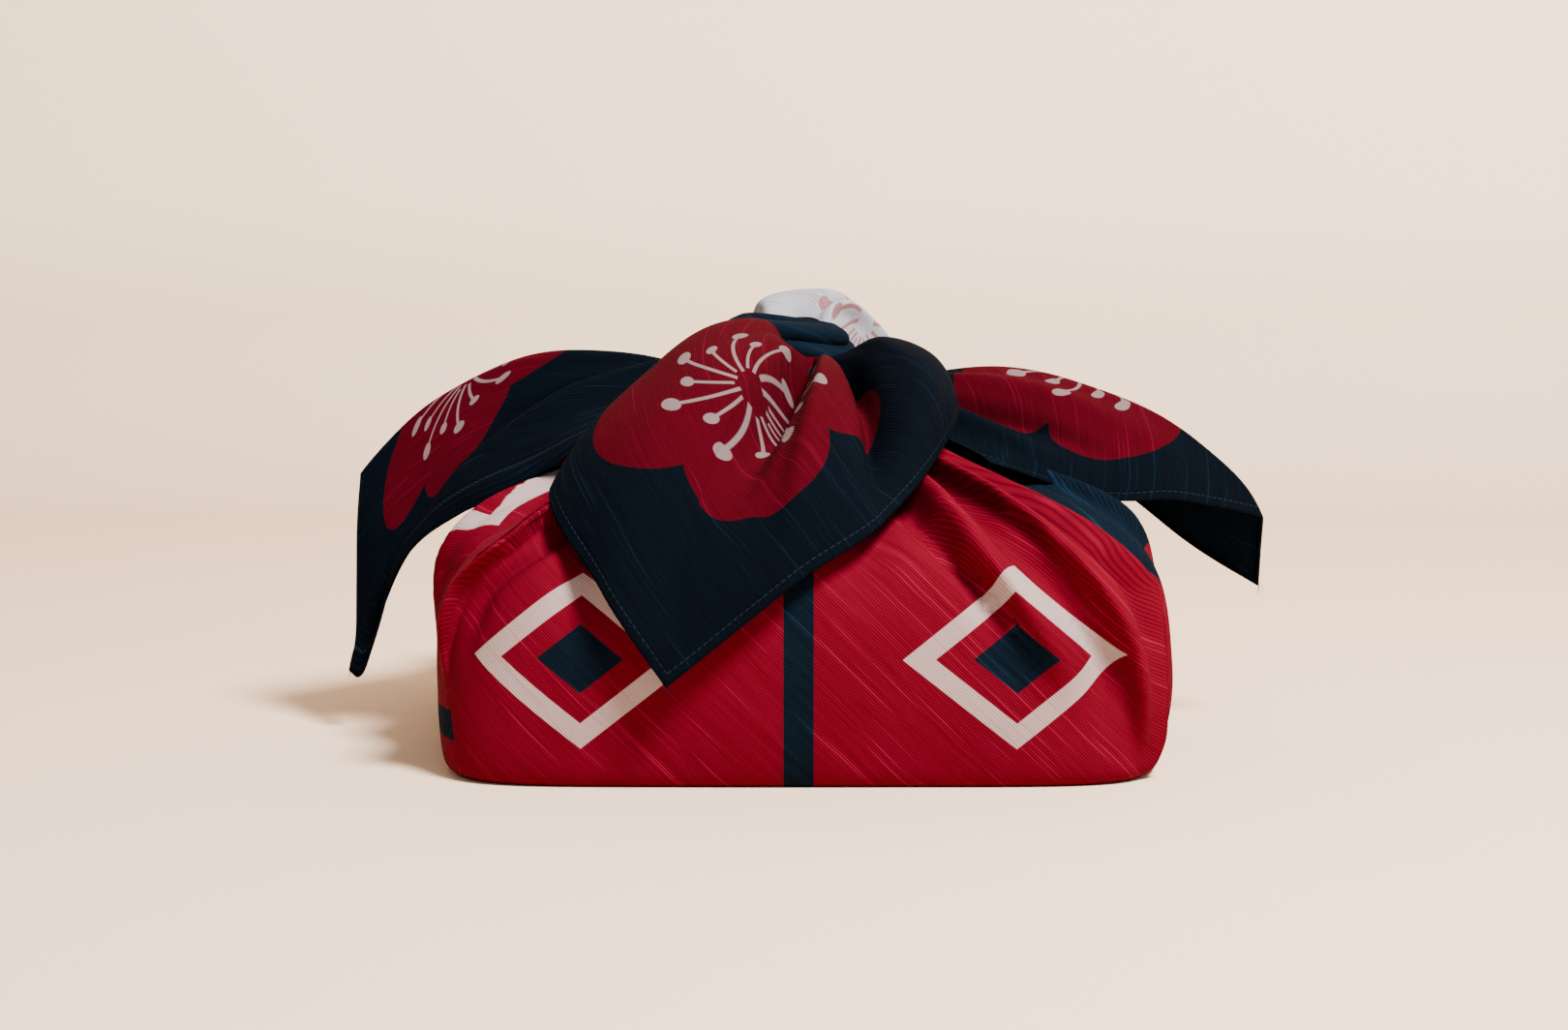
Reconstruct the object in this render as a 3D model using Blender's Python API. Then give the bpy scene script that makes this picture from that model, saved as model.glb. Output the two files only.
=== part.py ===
"""Furoshiki wrap: one square of cloth tied round a box-shaped bundle.

Metres, +Z up, origin at the middle of the flat underside, front towards -Y.
The bundle, the knot and the four free corners of the cloth are one solid.
"""

import bpy
import numpy as np

# Bundle, before its folds
HALF_WIDTH = 0.1300
HALF_DEPTH = 0.1150
BUNDLE_COLUMNS = 96
CORNER_CROWDING = 0.13
ROWS_PER_LEVEL = 2
WALL_BULGE = 0.0015

# Cloth and knot
CLOTH_THICKNESS = 0.0022
KNOT_CENTRE = (0.006, 0.002, 0.134)
KNOT_RADII = (0.027, 0.024, 0.016)
KNOT_SEGMENTS = 24
KNOT_RINGS = 12
BAND_RADIUS = 0.0130
BAND_THICKNESS = 0.0095
BAND_SEGMENTS = (22, 8)
ROOT_RADIUS = 0.010
INSET = 0.10
COLUMNS_PER_RIB = 2
TAIL_STEPS = 15

# Levels of the bundle from the floor up to the knot.
# share of the half width and depth, height, squareness of the outline
LEVELS = (
    ("floor edge", 0.955, 0.000, 7.5),
    ("heel", 0.982, 0.0040, 7.5),
    ("low wall", 0.994, 0.016, 7.0),
    ("middle wall", 1.000, 0.039, 6.0),
    ("high wall", 0.988, 0.061, 5.4),
    ("shoulder", 0.945, 0.078, 4.6),
    ("brow", 0.845, 0.089, 3.8),
    ("slope", 0.670, 0.097, 3.2),
    ("upper slope", 0.460, 0.105, 2.7),
    ("collar", 0.285, 0.114, 2.3),
    ("neck", 0.170, 0.124, 2.0),
    ("knot foot", 0.100, 0.131, 2.0),
)

# Folds of the bundle, each a ridge (+) or groove (-) that runs from the wall to the knot.
# bearing on the wall, at the shoulder and at the neck (degrees), height, half width (degrees),
# first and last level
BUNDLE_FOLDS = (
    ("right front crease", -41.5, -42.0, -40.0, -0.0040, 2.4, 1.0, 6.5),
    ("right front swell", -36.0, -34.0, -28.0, 0.0030, 4.5, 1.5, 7.5),
    ("ring ridge", -53.0, -59.0, -50.0, 0.0050, 5.0, 3.6, 11.0),
    ("ring groove", -47.5, -50.0, -40.0, -0.0045, 4.0, 2.2, 11.0),
    ("pleat ridge", -40.5, -39.5, -30.0, 0.0055, 4.5, 3.6, 11.0),
    ("pleat groove", -33.0, -30.0, -18.0, -0.0045, 4.5, 4.6, 11.0),
    ("front taper", -66.0, -70.0, -62.0, -0.0040, 5.0, 4.4, 11.0),
    ("left front pleat", -139.0, -138.5, -128.0, 0.0055, 4.6, 3.2, 11.0),
    ("left front groove", -132.5, -129.5, -114.0, -0.0045, 4.2, 3.0, 11.0),
    ("left side groove", -147.0, -149.0, -152.0, -0.0050, 4.5, 4.2, 11.0),
    ("right side groove", -14.0, -12.0, -6.0, -0.0030, 5.0, 5.0, 11.0),
    ("right back ridge", 39.0, 37.0, 34.0, 0.0055, 5.0, 3.5, 11.0),
    ("right back groove", 47.0, 50.0, 58.0, -0.0045, 4.6, 2.8, 11.0),
    ("left back ridge", 140.0, 143.0, 146.0, 0.0055, 5.0, 3.5, 11.0),
    ("left back groove", 132.0, 129.0, 122.0, -0.0045, 4.6, 2.8, 11.0),
)

# Ribs of each tail, fanned out from the knot to the hem, one row a rib.
# bearing at the knot (degrees), drop of the root, end point, length of the first handle,
# its rise, height of the last handle
FRONT_RIBS = (
    ("left underfold", -196.0, 0.0070, -0.058, -0.058, 0.1130, 0.022, 0.004, 0.010),
    ("left fold", -172.0, 0.0, -0.088, -0.086, 0.1030, 0.036, 0.012, 0.030),
    ("left hem", -134.0, 0.0, -0.069, -0.1200, 0.0710, 0.050, 0.014, 0.044),
    ("tip", -112.0, 0.0, -0.046, -0.1285, 0.0380, 0.052, 0.010, 0.062),
    ("near right hem", -98.0, 0.0, -0.024, -0.1255, 0.0560, 0.050, 0.006, 0.050),
    ("middle right hem", -84.0, 0.0, 0.001, -0.1200, 0.0750, 0.046, 0.004, 0.040),
    ("far right hem", -68.0, 0.0, 0.026, -0.1080, 0.0900, 0.042, 0.006, 0.030),
    ("roll hem", -50.0, 0.0, 0.045, -0.0800, 0.1060, 0.038, 0.008, 0.022),
    ("roll", -26.0, 0.0, 0.055, -0.0420, 0.1240, 0.030, 0.012, 0.018),
    ("roll underfold", -4.0, 0.0070, 0.038, -0.0420, 0.1160, 0.018, 0.000, 0.004),
)
LEFT_RIBS = (
    ("back hem", 112.0, 0.0020, -0.078, 0.0500, 0.1150, 0.030, 0.006, 0.018),
    ("back flap", 140.0, 0.0, -0.126, 0.0400, 0.0920, 0.046, 0.008, 0.026),
    ("ridge end", 168.0, 0.0, -0.163, 0.0020, 0.0940, 0.056, 0.016, 0.022),
    ("outer hem", 174.0, 0.0, -0.165, -0.0050, 0.0580, 0.058, 0.013, 0.046),
    ("tip", 181.0, 0.0, -0.166, -0.0120, 0.0215, 0.060, 0.011, 0.070),
    ("low hem", 190.0, 0.0, -0.152, -0.0230, 0.0550, 0.056, 0.008, 0.050),
    ("middle hem", 202.0, 0.0, -0.138, -0.0310, 0.0770, 0.050, 0.005, 0.034),
    ("near hem", 218.0, 0.0010, -0.107, -0.0430, 0.0975, 0.040, 0.003, 0.022),
    ("near underfold", 242.0, 0.0050, -0.076, -0.0480, 0.1130, 0.026, 0.000, 0.010),
)
RIGHT_RIBS = (
    ("near underfold", -78.0, 0.0050, 0.068, -0.0440, 0.1110, 0.020, 0.000, 0.006),
    ("near hem", -46.0, 0.0020, 0.110, -0.0340, 0.0960, 0.040, 0.003, 0.014),
    ("middle hem", -26.0, 0.0, 0.140, -0.0220, 0.0890, 0.052, 0.006, 0.018),
    ("outer corner", -8.0, 0.0, 0.173, -0.0020, 0.0790, 0.062, 0.010, 0.024),
    ("tip", 2.0, 0.0, 0.1715, 0.0060, 0.0520, 0.064, 0.012, 0.046),
    ("far outer hem", 14.0, 0.0, 0.150, 0.0220, 0.0650, 0.058, 0.012, 0.040),
    ("far hem", 34.0, 0.0, 0.118, 0.0360, 0.0880, 0.046, 0.008, 0.030),
    ("far underfold", 66.0, 0.0030, 0.076, 0.0460, 0.1120, 0.028, 0.002, 0.014),
)
BACK_RIBS = (
    ("right underfold", 20.0, 0.0080, 0.046, 0.0600, 0.1130, 0.018, 0.004, 0.008),
    ("right fold", 46.0, 0.0020, 0.076, 0.0880, 0.1030, 0.024, 0.024, 0.026),
    ("right hem", 68.0, 0.0, 0.052, 0.1200, 0.0740, 0.028, 0.034, 0.046),
    ("tip", 90.0, 0.0, 0.018, 0.1290, 0.0420, 0.030, 0.037, 0.066),
    ("left hem", 112.0, 0.0, -0.018, 0.1220, 0.0720, 0.028, 0.036, 0.048),
    ("left fold", 138.0, 0.0020, -0.056, 0.0900, 0.1030, 0.024, 0.026, 0.028),
    ("left underfold", 166.0, 0.0080, -0.040, 0.0600, 0.1130, 0.018, 0.004, 0.008),
)

# Folds of each tail: place across the fan (0 to 1), height, half width across, reach along (0 to 1)
FRONT_FOLDS = (
    ("main petal swell", 0.30, 0.0050, 0.14, 0.85),
    ("inner valley", 0.46, -0.0100, 0.055, 0.60),
    ("lobe swell", 0.57, 0.0070, 0.06, 0.75),
    ("outer valley", 0.69, -0.0090, 0.050, 0.85),
    ("roll swell", 0.82, 0.0050, 0.07, 0.90),
)
LEFT_FOLDS = (
    ("ridge", 0.27, 0.0040, 0.08, 0.85),
    ("near valley", 0.62, -0.0050, 0.08, 0.80),
    ("near ridge", 0.80, 0.0040, 0.07, 0.75),
)
RIGHT_FOLDS = (
    ("near valley", 0.20, -0.0045, 0.07, 0.80),
    ("crown", 0.45, 0.0050, 0.14, 0.90),
    ("far valley", 0.74, -0.0045, 0.08, 0.80),
)
BACK_FOLDS = (
    ("right valley", 0.30, -0.0060, 0.07, 0.70),
    ("crown", 0.50, 0.0050, 0.12, 0.85),
    ("left valley", 0.70, -0.0060, 0.07, 0.70),
)

# Pivot of each fan inside the knot
TAILS = (
    ("front_tail", (0.006, -0.004, 0.139), FRONT_RIBS, FRONT_FOLDS),
    ("left_tail", (-0.004, 0.001, 0.135), LEFT_RIBS, LEFT_FOLDS),
    ("right_tail", (0.015, 0.001, 0.127), RIGHT_RIBS, RIGHT_FOLDS),
    ("back_tail", (0.000, 0.006, 0.147), BACK_RIBS, BACK_FOLDS),
)

# Turn of the tied cloth over the knot: centre, rotation about x, y and z in degrees
BAND_CENTRE = (0.005, 0.000, 0.133)
BAND_TILT = (80.0, 0.0, 50.0)

CLOTH_COLOUR = (0.175, 0.006, 0.010, 1.0)
CLOTH_ROUGHNESS = 0.85


def clear_objects():
    for obj in list(bpy.data.objects):
        bpy.data.objects.remove(obj, do_unlink=True)


def smooth_rows(rows, places):
    """Catmull-Rom curve through the rows, read at places counted in rows."""
    rows = np.asarray(rows, float)
    last = len(rows) - 1
    first = np.clip(np.floor(places).astype(int), 0, last - 1)
    t = (places - first)[:, None]
    before, here = rows[np.clip(first - 1, 0, last)], rows[first]
    after, beyond = rows[first + 1], rows[np.clip(first + 2, 0, last)]
    return 0.5 * (
        2.0 * here
        + (after - before) * t
        + (2.0 * before - 5.0 * here + 4.0 * after - beyond) * t**2
        + (3.0 * here - before - 3.0 * after + beyond) * t**3
    )


def cornered_rows(rows, places, corner):
    """Two smooth runs of rows that meet in a sharp corner at one row."""
    before = smooth_rows(rows[: corner + 1], np.clip(places, 0.0, corner))
    after = smooth_rows(rows[corner:], np.clip(places - corner, 0.0, len(rows) - 1.0 - corner))
    return np.where(places[:, None] <= corner, before, after)


def bell(distance):
    """Smooth bump, 1 at 0 and next to nothing past 2."""
    return np.exp(-(distance**2))


def ease(value):
    """Smooth step from 0 to 1."""
    value = np.clip(value, 0.0, 1.0)
    return value * value * (3.0 - 2.0 * value)


def grid_normals(points, closed_across):
    """Unit normals of a grid of points (across, along, xyz)."""
    along = np.gradient(points, axis=1)
    if closed_across:
        wrapped = np.concatenate((points[-1:], points, points[:1]))
        across = np.gradient(wrapped, axis=0)[1:-1]
    else:
        across = np.gradient(points, axis=0)
    normal = np.cross(across, along)
    return normal / np.maximum(np.linalg.norm(normal, axis=2, keepdims=True), 1e-12)


def bundle_points():
    """Rounded box outline at each level, moved out or in along its normal by the folds."""
    places = np.linspace(0.0, len(LEVELS) - 1.0, (len(LEVELS) - 1) * ROWS_PER_LEVEL + 1)
    share, height, squareness = smooth_rows([row[1:] for row in LEVELS], places).T
    bearing = np.linspace(-np.pi, np.pi, BUNDLE_COLUMNS, endpoint=False)[:, None]
    bearing = bearing + CORNER_CROWDING * np.sin(4.0 * bearing)
    outline = (
        np.abs(np.cos(bearing) / HALF_WIDTH) ** squareness
        + np.abs(np.sin(bearing) / HALF_DEPTH) ** squareness
    ) ** (-1.0 / squareness)
    reach = outline * share
    x, y = reach * np.cos(bearing), reach * np.sin(bearing)
    points = np.stack((x, y, np.broadcast_to(height, x.shape)), axis=2)

    level = places[None, :]
    push = WALL_BULGE * np.cos(2.0 * bearing) ** 2 * bell((level - 3.0) / 1.6)
    degrees = np.degrees(bearing)
    for _, wall, shoulder, neck, size, width, low, high in BUNDLE_FOLDS:
        centre = np.interp(level, (low, 5.5, 11.0), (wall, shoulder, neck))
        fade = ease((level - low) / 1.5) * ease((high + 1.0 - level) / 1.5)
        spread = width * (1.0 + 1.6 * ease((level - 6.0) / 5.0))
        push = push + size * fade * bell((degrees - centre) / spread)
    points += grid_normals(points, True) * push[:, :, None]
    points[:, 0, 2] = 0.0
    points[:, :, 2] = np.maximum(points[:, :, 2], 0.0)
    return points


def tail_points(pivot, ribs, folds):
    """Fan of curves from the pivot to the hem, with folds along its ribs."""
    pivot = np.array(pivot)
    controls = []
    for _, bearing, drop, x, y, z, forward, rise, hang in ribs:
        end = np.array((x, y, z))
        angle = np.radians(bearing)
        way = np.array((np.cos(angle), np.sin(angle), 0.0))
        root = pivot + way * ROOT_RADIUS - (0.0, 0.0, drop)
        leave = root + way * forward + (0.0, 0.0, rise)
        arrive = end + (root - end) * (INSET, INSET, 0.0) + (0.0, 0.0, hang)
        controls.append(np.concatenate((root, leave, arrive, end)))
    corner = [rib[0] for rib in ribs].index("tip")
    places = np.linspace(0.0, len(ribs) - 1.0, (len(ribs) - 1) * COLUMNS_PER_RIB + 1)
    across = places / places[-1]
    control = smooth_rows(controls, places).reshape(-1, 4, 3)
    control[:, 2:] = cornered_rows(controls, places, corner).reshape(-1, 4, 3)[:, 2:]
    t = np.linspace(0.0, 1.0, TAIL_STEPS)[None, :, None]
    points = (
        control[:, None, 0] * (1.0 - t) ** 3
        + control[:, None, 1] * 3.0 * t * (1.0 - t) ** 2
        + control[:, None, 2] * 3.0 * t**2 * (1.0 - t)
        + control[:, None, 3] * t**3
    )
    along = t[:, :, 0]
    push = np.zeros(points.shape[:2])
    for _, place, size, width, reach in folds:
        fade = ease(along / 0.25) * (1.0 - ease((along - reach + 0.45) / 0.55))
        push += size * fade * bell((across[:, None] - place) / width)
    normal = grid_normals(points, False)
    normal *= np.sign(normal[:, :, 2].mean())
    return points + normal * push[:, :, None], normal


def make_object(name, vertices, faces):
    mesh = bpy.data.meshes.new(name)
    mesh.from_pydata([tuple(v) for v in vertices], [], faces)
    mesh.shade_smooth()
    obj = bpy.data.objects.new(name, mesh)
    bpy.context.scene.collection.objects.link(obj)
    return obj


def make_bundle():
    """Closed bundle: the grid of its skin with a flat cap below and one inside the knot."""
    points = bundle_points()
    columns, rows = points.shape[:2]
    faces = []
    for i in range(columns):
        j = (i + 1) % columns
        for k in range(rows - 1):
            faces.append((i * rows + k, j * rows + k, j * rows + k + 1, i * rows + k + 1))
    faces.append([i * rows for i in reversed(range(columns))])
    faces.append([i * rows + rows - 1 for i in range(columns)])
    return make_object("wrap_cloth", points.reshape(-1, 3), faces)


def make_tail(name, pivot, ribs, folds):
    """Closed sheet: the fan's upper and lower skins, joined round the rim."""
    points, normal = tail_points(pivot, ribs, folds)
    columns, rows = points.shape[:2]
    upper = points + normal * CLOTH_THICKNESS / 2.0
    lower = points - normal * CLOTH_THICKNESS / 2.0
    vertices = np.concatenate((upper.reshape(-1, 3), lower.reshape(-1, 3)))
    below = columns * rows
    faces = []
    for i in range(columns - 1):
        for k in range(rows - 1):
            a, b = i * rows + k, (i + 1) * rows + k
            faces.append((a, b, b + 1, a + 1))
            faces.append((below + a, below + a + 1, below + b + 1, below + b))
    rim = [k for k in range(rows)]
    rim += [i * rows + rows - 1 for i in range(1, columns)]
    rim += [(columns - 1) * rows + k for k in reversed(range(rows - 1))]
    rim += [i * rows for i in reversed(range(1, columns - 1))]
    for a, b in zip(rim, rim[1:] + rim[:1]):
        faces.append((a, b, below + b, below + a))
    obj = make_object(name, vertices, faces)
    turn_outwards(obj)
    return obj


def turn_outwards(obj):
    """Flip the mesh when its signed volume is negative."""
    mesh = obj.data
    mesh.calc_loop_triangles()
    corners = np.array([[mesh.vertices[v].co for v in t.vertices] for t in mesh.loop_triangles])
    volume = np.einsum("ij,ij->i", corners[:, 0], np.cross(corners[:, 1], corners[:, 2])).sum()
    if volume < 0.0:
        mesh.flip_normals()


def make_knot():
    """Core of the knot: a flattened ball where all four corners are pulled together."""
    bpy.ops.mesh.primitive_uv_sphere_add(
        segments=KNOT_SEGMENTS, ring_count=KNOT_RINGS, radius=1.0, location=KNOT_CENTRE
    )
    knot = bpy.context.object
    knot.name = "knot_core"
    knot.scale = KNOT_RADII
    bpy.context.view_layer.update()
    return knot


def make_band():
    """One turn of the tied cloth round the core of the knot."""
    bpy.ops.mesh.primitive_torus_add(
        major_radius=BAND_RADIUS,
        minor_radius=BAND_THICKNESS,
        major_segments=BAND_SEGMENTS[0],
        minor_segments=BAND_SEGMENTS[1],
        location=BAND_CENTRE,
        rotation=np.radians(BAND_TILT),
    )
    band = bpy.context.object
    band.name = "knot_band"
    return band


def cloth_material():
    material = bpy.data.materials.new("printed_cotton")
    material.use_nodes = True
    shader = material.node_tree.nodes["Principled BSDF"]
    shader.inputs["Base Color"].default_value = CLOTH_COLOUR
    shader.inputs["Roughness"].default_value = CLOTH_ROUGHNESS
    shader.inputs["Metallic"].default_value = 0.0
    return material


def main():
    clear_objects()
    wrap = make_bundle()
    turn_outwards(wrap)
    operands = [make_knot(), make_band()]
    operands += [make_tail(*tail) for tail in TAILS]
    for operand in operands:
        operand.hide_render = True
        operand.display_type = "WIRE"
        union = wrap.modifiers.new(f"join_{operand.name}", "BOOLEAN")
        union.operation = "UNION"
        union.solver = "EXACT"
        union.object = operand
    wrap.data.materials.append(cloth_material())


main()
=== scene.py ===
"""Furoshiki wrap: the printed slub cotton, its hems and loose threads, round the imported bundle."""

import math

import bpy
import numpy as np
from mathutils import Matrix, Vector


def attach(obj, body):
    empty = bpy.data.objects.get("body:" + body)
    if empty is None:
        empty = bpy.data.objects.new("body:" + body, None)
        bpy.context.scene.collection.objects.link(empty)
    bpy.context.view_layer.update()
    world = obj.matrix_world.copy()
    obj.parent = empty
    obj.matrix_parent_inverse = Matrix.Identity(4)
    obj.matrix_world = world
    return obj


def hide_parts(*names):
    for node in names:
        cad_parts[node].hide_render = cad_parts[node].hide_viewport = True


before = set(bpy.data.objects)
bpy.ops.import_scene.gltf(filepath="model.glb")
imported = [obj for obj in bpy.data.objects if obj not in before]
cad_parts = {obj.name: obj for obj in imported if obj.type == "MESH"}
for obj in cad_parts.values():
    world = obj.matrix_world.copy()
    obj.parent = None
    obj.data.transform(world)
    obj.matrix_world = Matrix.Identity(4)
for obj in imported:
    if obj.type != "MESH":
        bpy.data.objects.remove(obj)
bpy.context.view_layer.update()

bl_info = {
    "name": "Furoshiki wrap",
    "version": (1, 0, 0),
    "blender": (4, 5, 0),
    "location": "View3D > Sidebar > Furoshiki",
    "description": "Builds a tied wrapping cloth with its print, hems, stitches and loose threads",
    "category": "Add Mesh",
}

CLOTH_NODE = "wrap_cloth"
ROOT = "root"

# Flat cloth, a square whose corners lie on the p and q axes
CLOTH_SIDE = 0.70
CORNER_REACH = CLOTH_SIDE / math.sqrt(2.0)

# Grid of the bundle's skin, with its columns crowded towards the tucks
PANEL_COLUMNS = 126
ROWS_PER_LEVEL = 8
END_CROWDING = 0.68

# Rings of the underside and the innermost one's share of the floor edge
BASE_RINGS = 5
INNERMOST_RING = 0.04

# Hidden layer: first and last row of the skin, step, and gap beneath the skin (metres)
HIDDEN_ROWS = (8, 81)
HIDDEN_STEP = 3
HIDDEN_GAP = 0.0018

# How far the cloth of one side may reach past its own edge line (metres)
CORNER_EXCESS = 0.015

# Bulge of the walls: height (metres), the level it is centred on and its half width in levels
WALL_BULGE = 0.0015
BULGE_LEVEL = 3.0
BULGE_WIDTH = 1.6

# Folds widen by this share from a level on, over so many levels, and fade in and out in levels
FOLD_SPREAD = 1.9
SPREAD_LEVEL = 6.0
SPREAD_LEVELS = 5.0
FADE_IN = 1.6
FADE_OUT = 1.5

# Pitch of the soft unevenness (metres), and how weak it is on the bundle next to the tails
BUNDLE_SLACK_PITCH = 0.075
TAIL_SLACK_PITCH = 0.060
BUNDLE_SLACK_SHARE = 0.5

# Grid of a tail, radius in the knot that its ribs start from, and the share of the way back to the
# root that the last handle of a rib leans
COLUMNS_PER_RIB = 12
TAIL_STEPS = 84
ROOT_RADIUS = 0.010
INSET = 0.10

# A tail's folds begin to fade this far before their reach, over this much of the tail; the
# unevenness has its full height from here on
FOLD_FADE_AHEAD = 0.45
FOLD_FADE = 0.55
SLACK_START = 0.3

# Levels of the bundle: share of the half width and depth, height, squareness of the outline
LEVELS = (
    ("floor edge", 0.955, 0.000, 7.5),
    ("heel", 0.982, 0.0040, 7.5),
    ("low wall", 0.994, 0.016, 7.0),
    ("middle wall", 1.000, 0.039, 6.0),
    ("high wall", 0.988, 0.061, 5.4),
    ("shoulder", 0.945, 0.078, 4.6),
    ("brow", 0.845, 0.089, 3.8),
    ("slope", 0.670, 0.097, 3.2),
    ("upper slope", 0.460, 0.105, 2.7),
    ("collar", 0.285, 0.114, 2.3),
    ("neck", 0.170, 0.124, 2.0),
    ("knot foot", 0.100, 0.131, 2.0),
)

# Fold lines on the bundle are given by their bearings (degrees) at these levels
STATIONS = (1.5, 3.2, 4.3, 5.2, 6.2, 8.0, 11.0)

# Where one side of the cloth tucks under the next, from the front right corner round
SEAMS = (
    ("right front", (-38.1, -37.6, -36.6, -40.6, -42.2, -41.0, -34.0)),
    ("right back", (41.0, 41.0, 41.0, 40.0, 38.0, 36.0, 34.0)),
    ("left back", (139.0, 139.0, 139.0, 141.0, 143.0, 145.0, 147.0)),
    ("left front", (-139.5, -143.0, -141.0, -135.6, -134.6, -131.0, -124.0)),
)

# Folds of the bundle. size is the height (metres), width the half width (degrees),
# edge the steep side's share of that width and side the way it faces (1 is anticlockwise),
# lap how far the upper layer reaches over the lower one (metres), low and high the levels it spans
BUNDLE_FOLDS = (
    ("front overlap", (-50.0, -51.4, -56.0, -59.8, -60.9, -57.0, -46.0),
     0.0092, 3.8, 0.60, -1, 0.0020, 2.4, 11.0),
    ("shadow under overlap", (-54.0, -55.4, -60.5, -65.0, -66.6, -62.0, -51.0),
     -0.0066, 2.8, 1.0, 1, 0.0, 3.2, 10.0),
    ("groove after overlap", (-45.0, -46.4, -51.2, -54.6, -55.2, -51.6, -42.0),
     -0.0058, 3.0, 1.0, 1, 0.0, 1.8, 11.0),
    ("corner roll", (-40.6, -42.0, -45.2, -48.4, -49.4, -46.2, -38.6),
     0.0086, 2.7, 0.40, -1, 0.0034, 1.4, 11.0),
    ("corner edge groove", (-39.0, -39.4, -40.6, -44.0, -45.4, -43.4, -36.6),
     -0.0030, 1.2, 1.0, 1, 0.0, 1.0, 11.0),
    ("corner hem edge", (-38.5, -38.0, -37.3, -41.1, -42.7, -41.4, -34.5),
     0.0050, 1.3, 0.18, 1, 0.0026, 0.5, 11.0),
    ("side swell", (-33.0, -33.0, -32.0, -33.0, -33.0, -31.0, -26.0),
     0.0030, 3.0, 1.0, 1, 0.0, 1.2, 6.6),
    ("side groove", (-30.0, -30.0, -29.0, -29.0, -29.0, -27.0, -22.0),
     -0.0044, 2.6, 1.0, 1, 0.0, 4.0, 11.0),
    ("side pleat", (-23.0, -23.0, -23.0, -23.0, -22.0, -19.0, -13.0),
     0.0052, 3.2, 0.35, -1, 0.0020, 4.2, 11.0),
    ("side second pleat", (-10.0, -10.0, -10.0, -10.0, -8.0, -5.0, 0.0),
     0.0040, 3.6, 0.40, -1, 0.0, 4.6, 11.0),
    ("left overlap", (-141.0, -143.5, -141.6, -136.4, -135.4, -131.8, -124.8),
     0.0074, 3.8, 0.14, 1, 0.0040, 2.6, 11.0),
    ("left rolled edge", (-141.0, -143.5, -141.2, -136.0, -135.0, -131.4, -124.4),
     0.0018, 0.9, 0.35, 1, 0.0, 2.4, 11.0),
    ("left under edge", (-136.8, -139.0, -137.6, -132.6, -131.6, -128.0, -120.6),
     -0.0034, 1.8, 1.0, 1, 0.0, 2.8, 11.0),
    ("left dent", (-125.0, -123.0, -124.0, -126.0, -126.5, -121.0, -110.0),
     -0.0050, 3.6, 1.0, 1, 0.0, 3.0, 11.0),
    ("left front swell", (-115.0, -115.0, -115.0, -116.0, -117.0, -110.0, -98.0),
     0.0040, 4.0, 1.0, 1, 0.0, 3.4, 11.0),
    ("left wall groove", (-149.0, -150.0, -151.0, -149.0, -147.0, -147.0, -150.0),
     -0.0050, 2.6, 1.0, 1, 0.0, 2.2, 11.0),
    ("left side pleat", (-156.0, -157.0, -158.0, -156.0, -156.0, -158.0, -164.0),
     0.0052, 3.2, 0.35, 1, 0.0018, 3.0, 11.0),
    ("left second pleat", (-168.0, -168.0, -168.0, -167.0, -168.0, -171.0, -177.0),
     0.0036, 3.8, 0.4, 1, 0.0, 4.6, 11.0),
    ("front taper", (-78.0, -80.0, -80.5, -78.0, -76.0, -72.0, -64.0),
     -0.0030, 4.6, 1.0, 1, 0.0, 3.6, 11.0),
    ("front centre fold", (-95.0, -95.0, -95.0, -95.0, -94.0, -92.0, -88.0),
     0.0026, 4.6, 0.5, 1, 0.0, 4.6, 11.0),
    ("right back overlap", (41.0, 41.4, 41.0, 39.0, 36.8, 34.8, 33.0),
     0.0080, 3.8, 0.20, 1, 0.0036, 2.4, 11.0),
    ("right back groove", (46.0, 46.0, 47.0, 48.0, 49.0, 51.0, 56.0),
     -0.0062, 2.8, 1.0, 1, 0.0, 2.0, 11.0),
    ("right back fold", (54.0, 54.0, 55.0, 58.0, 61.0, 64.0, 70.0),
     0.0058, 3.4, 0.35, -1, 0.0022, 3.4, 11.0),
    ("right side fold", (28.0, 28.0, 28.0, 27.0, 25.0, 22.0, 16.0),
     0.0048, 3.2, 0.40, 1, 0.0016, 3.8, 11.0),
    ("left back overlap", (139.0, 139.4, 139.6, 142.0, 144.2, 146.2, 148.0),
     0.0080, 3.8, 0.20, -1, 0.0036, 2.4, 11.0),
    ("left back groove", (133.0, 133.0, 132.0, 131.0, 130.0, 128.0, 123.0),
     -0.0062, 2.8, 1.0, 1, 0.0, 2.0, 11.0),
    ("left back fold", (124.0, 124.0, 123.0, 121.0, 118.0, 115.0, 108.0),
     0.0056, 3.4, 0.35, 1, 0.0022, 3.4, 11.0),
    ("left far fold", (152.0, 152.0, 152.0, 154.0, 156.0, 159.0, 164.0),
     0.0048, 3.2, 0.40, -1, 0.0016, 3.8, 11.0),
    ("back centre fold", (88.0, 88.0, 88.0, 88.0, 88.0, 88.0, 90.0),
     0.0028, 4.6, 0.5, 1, 0.0, 4.6, 11.0),
)

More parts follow.
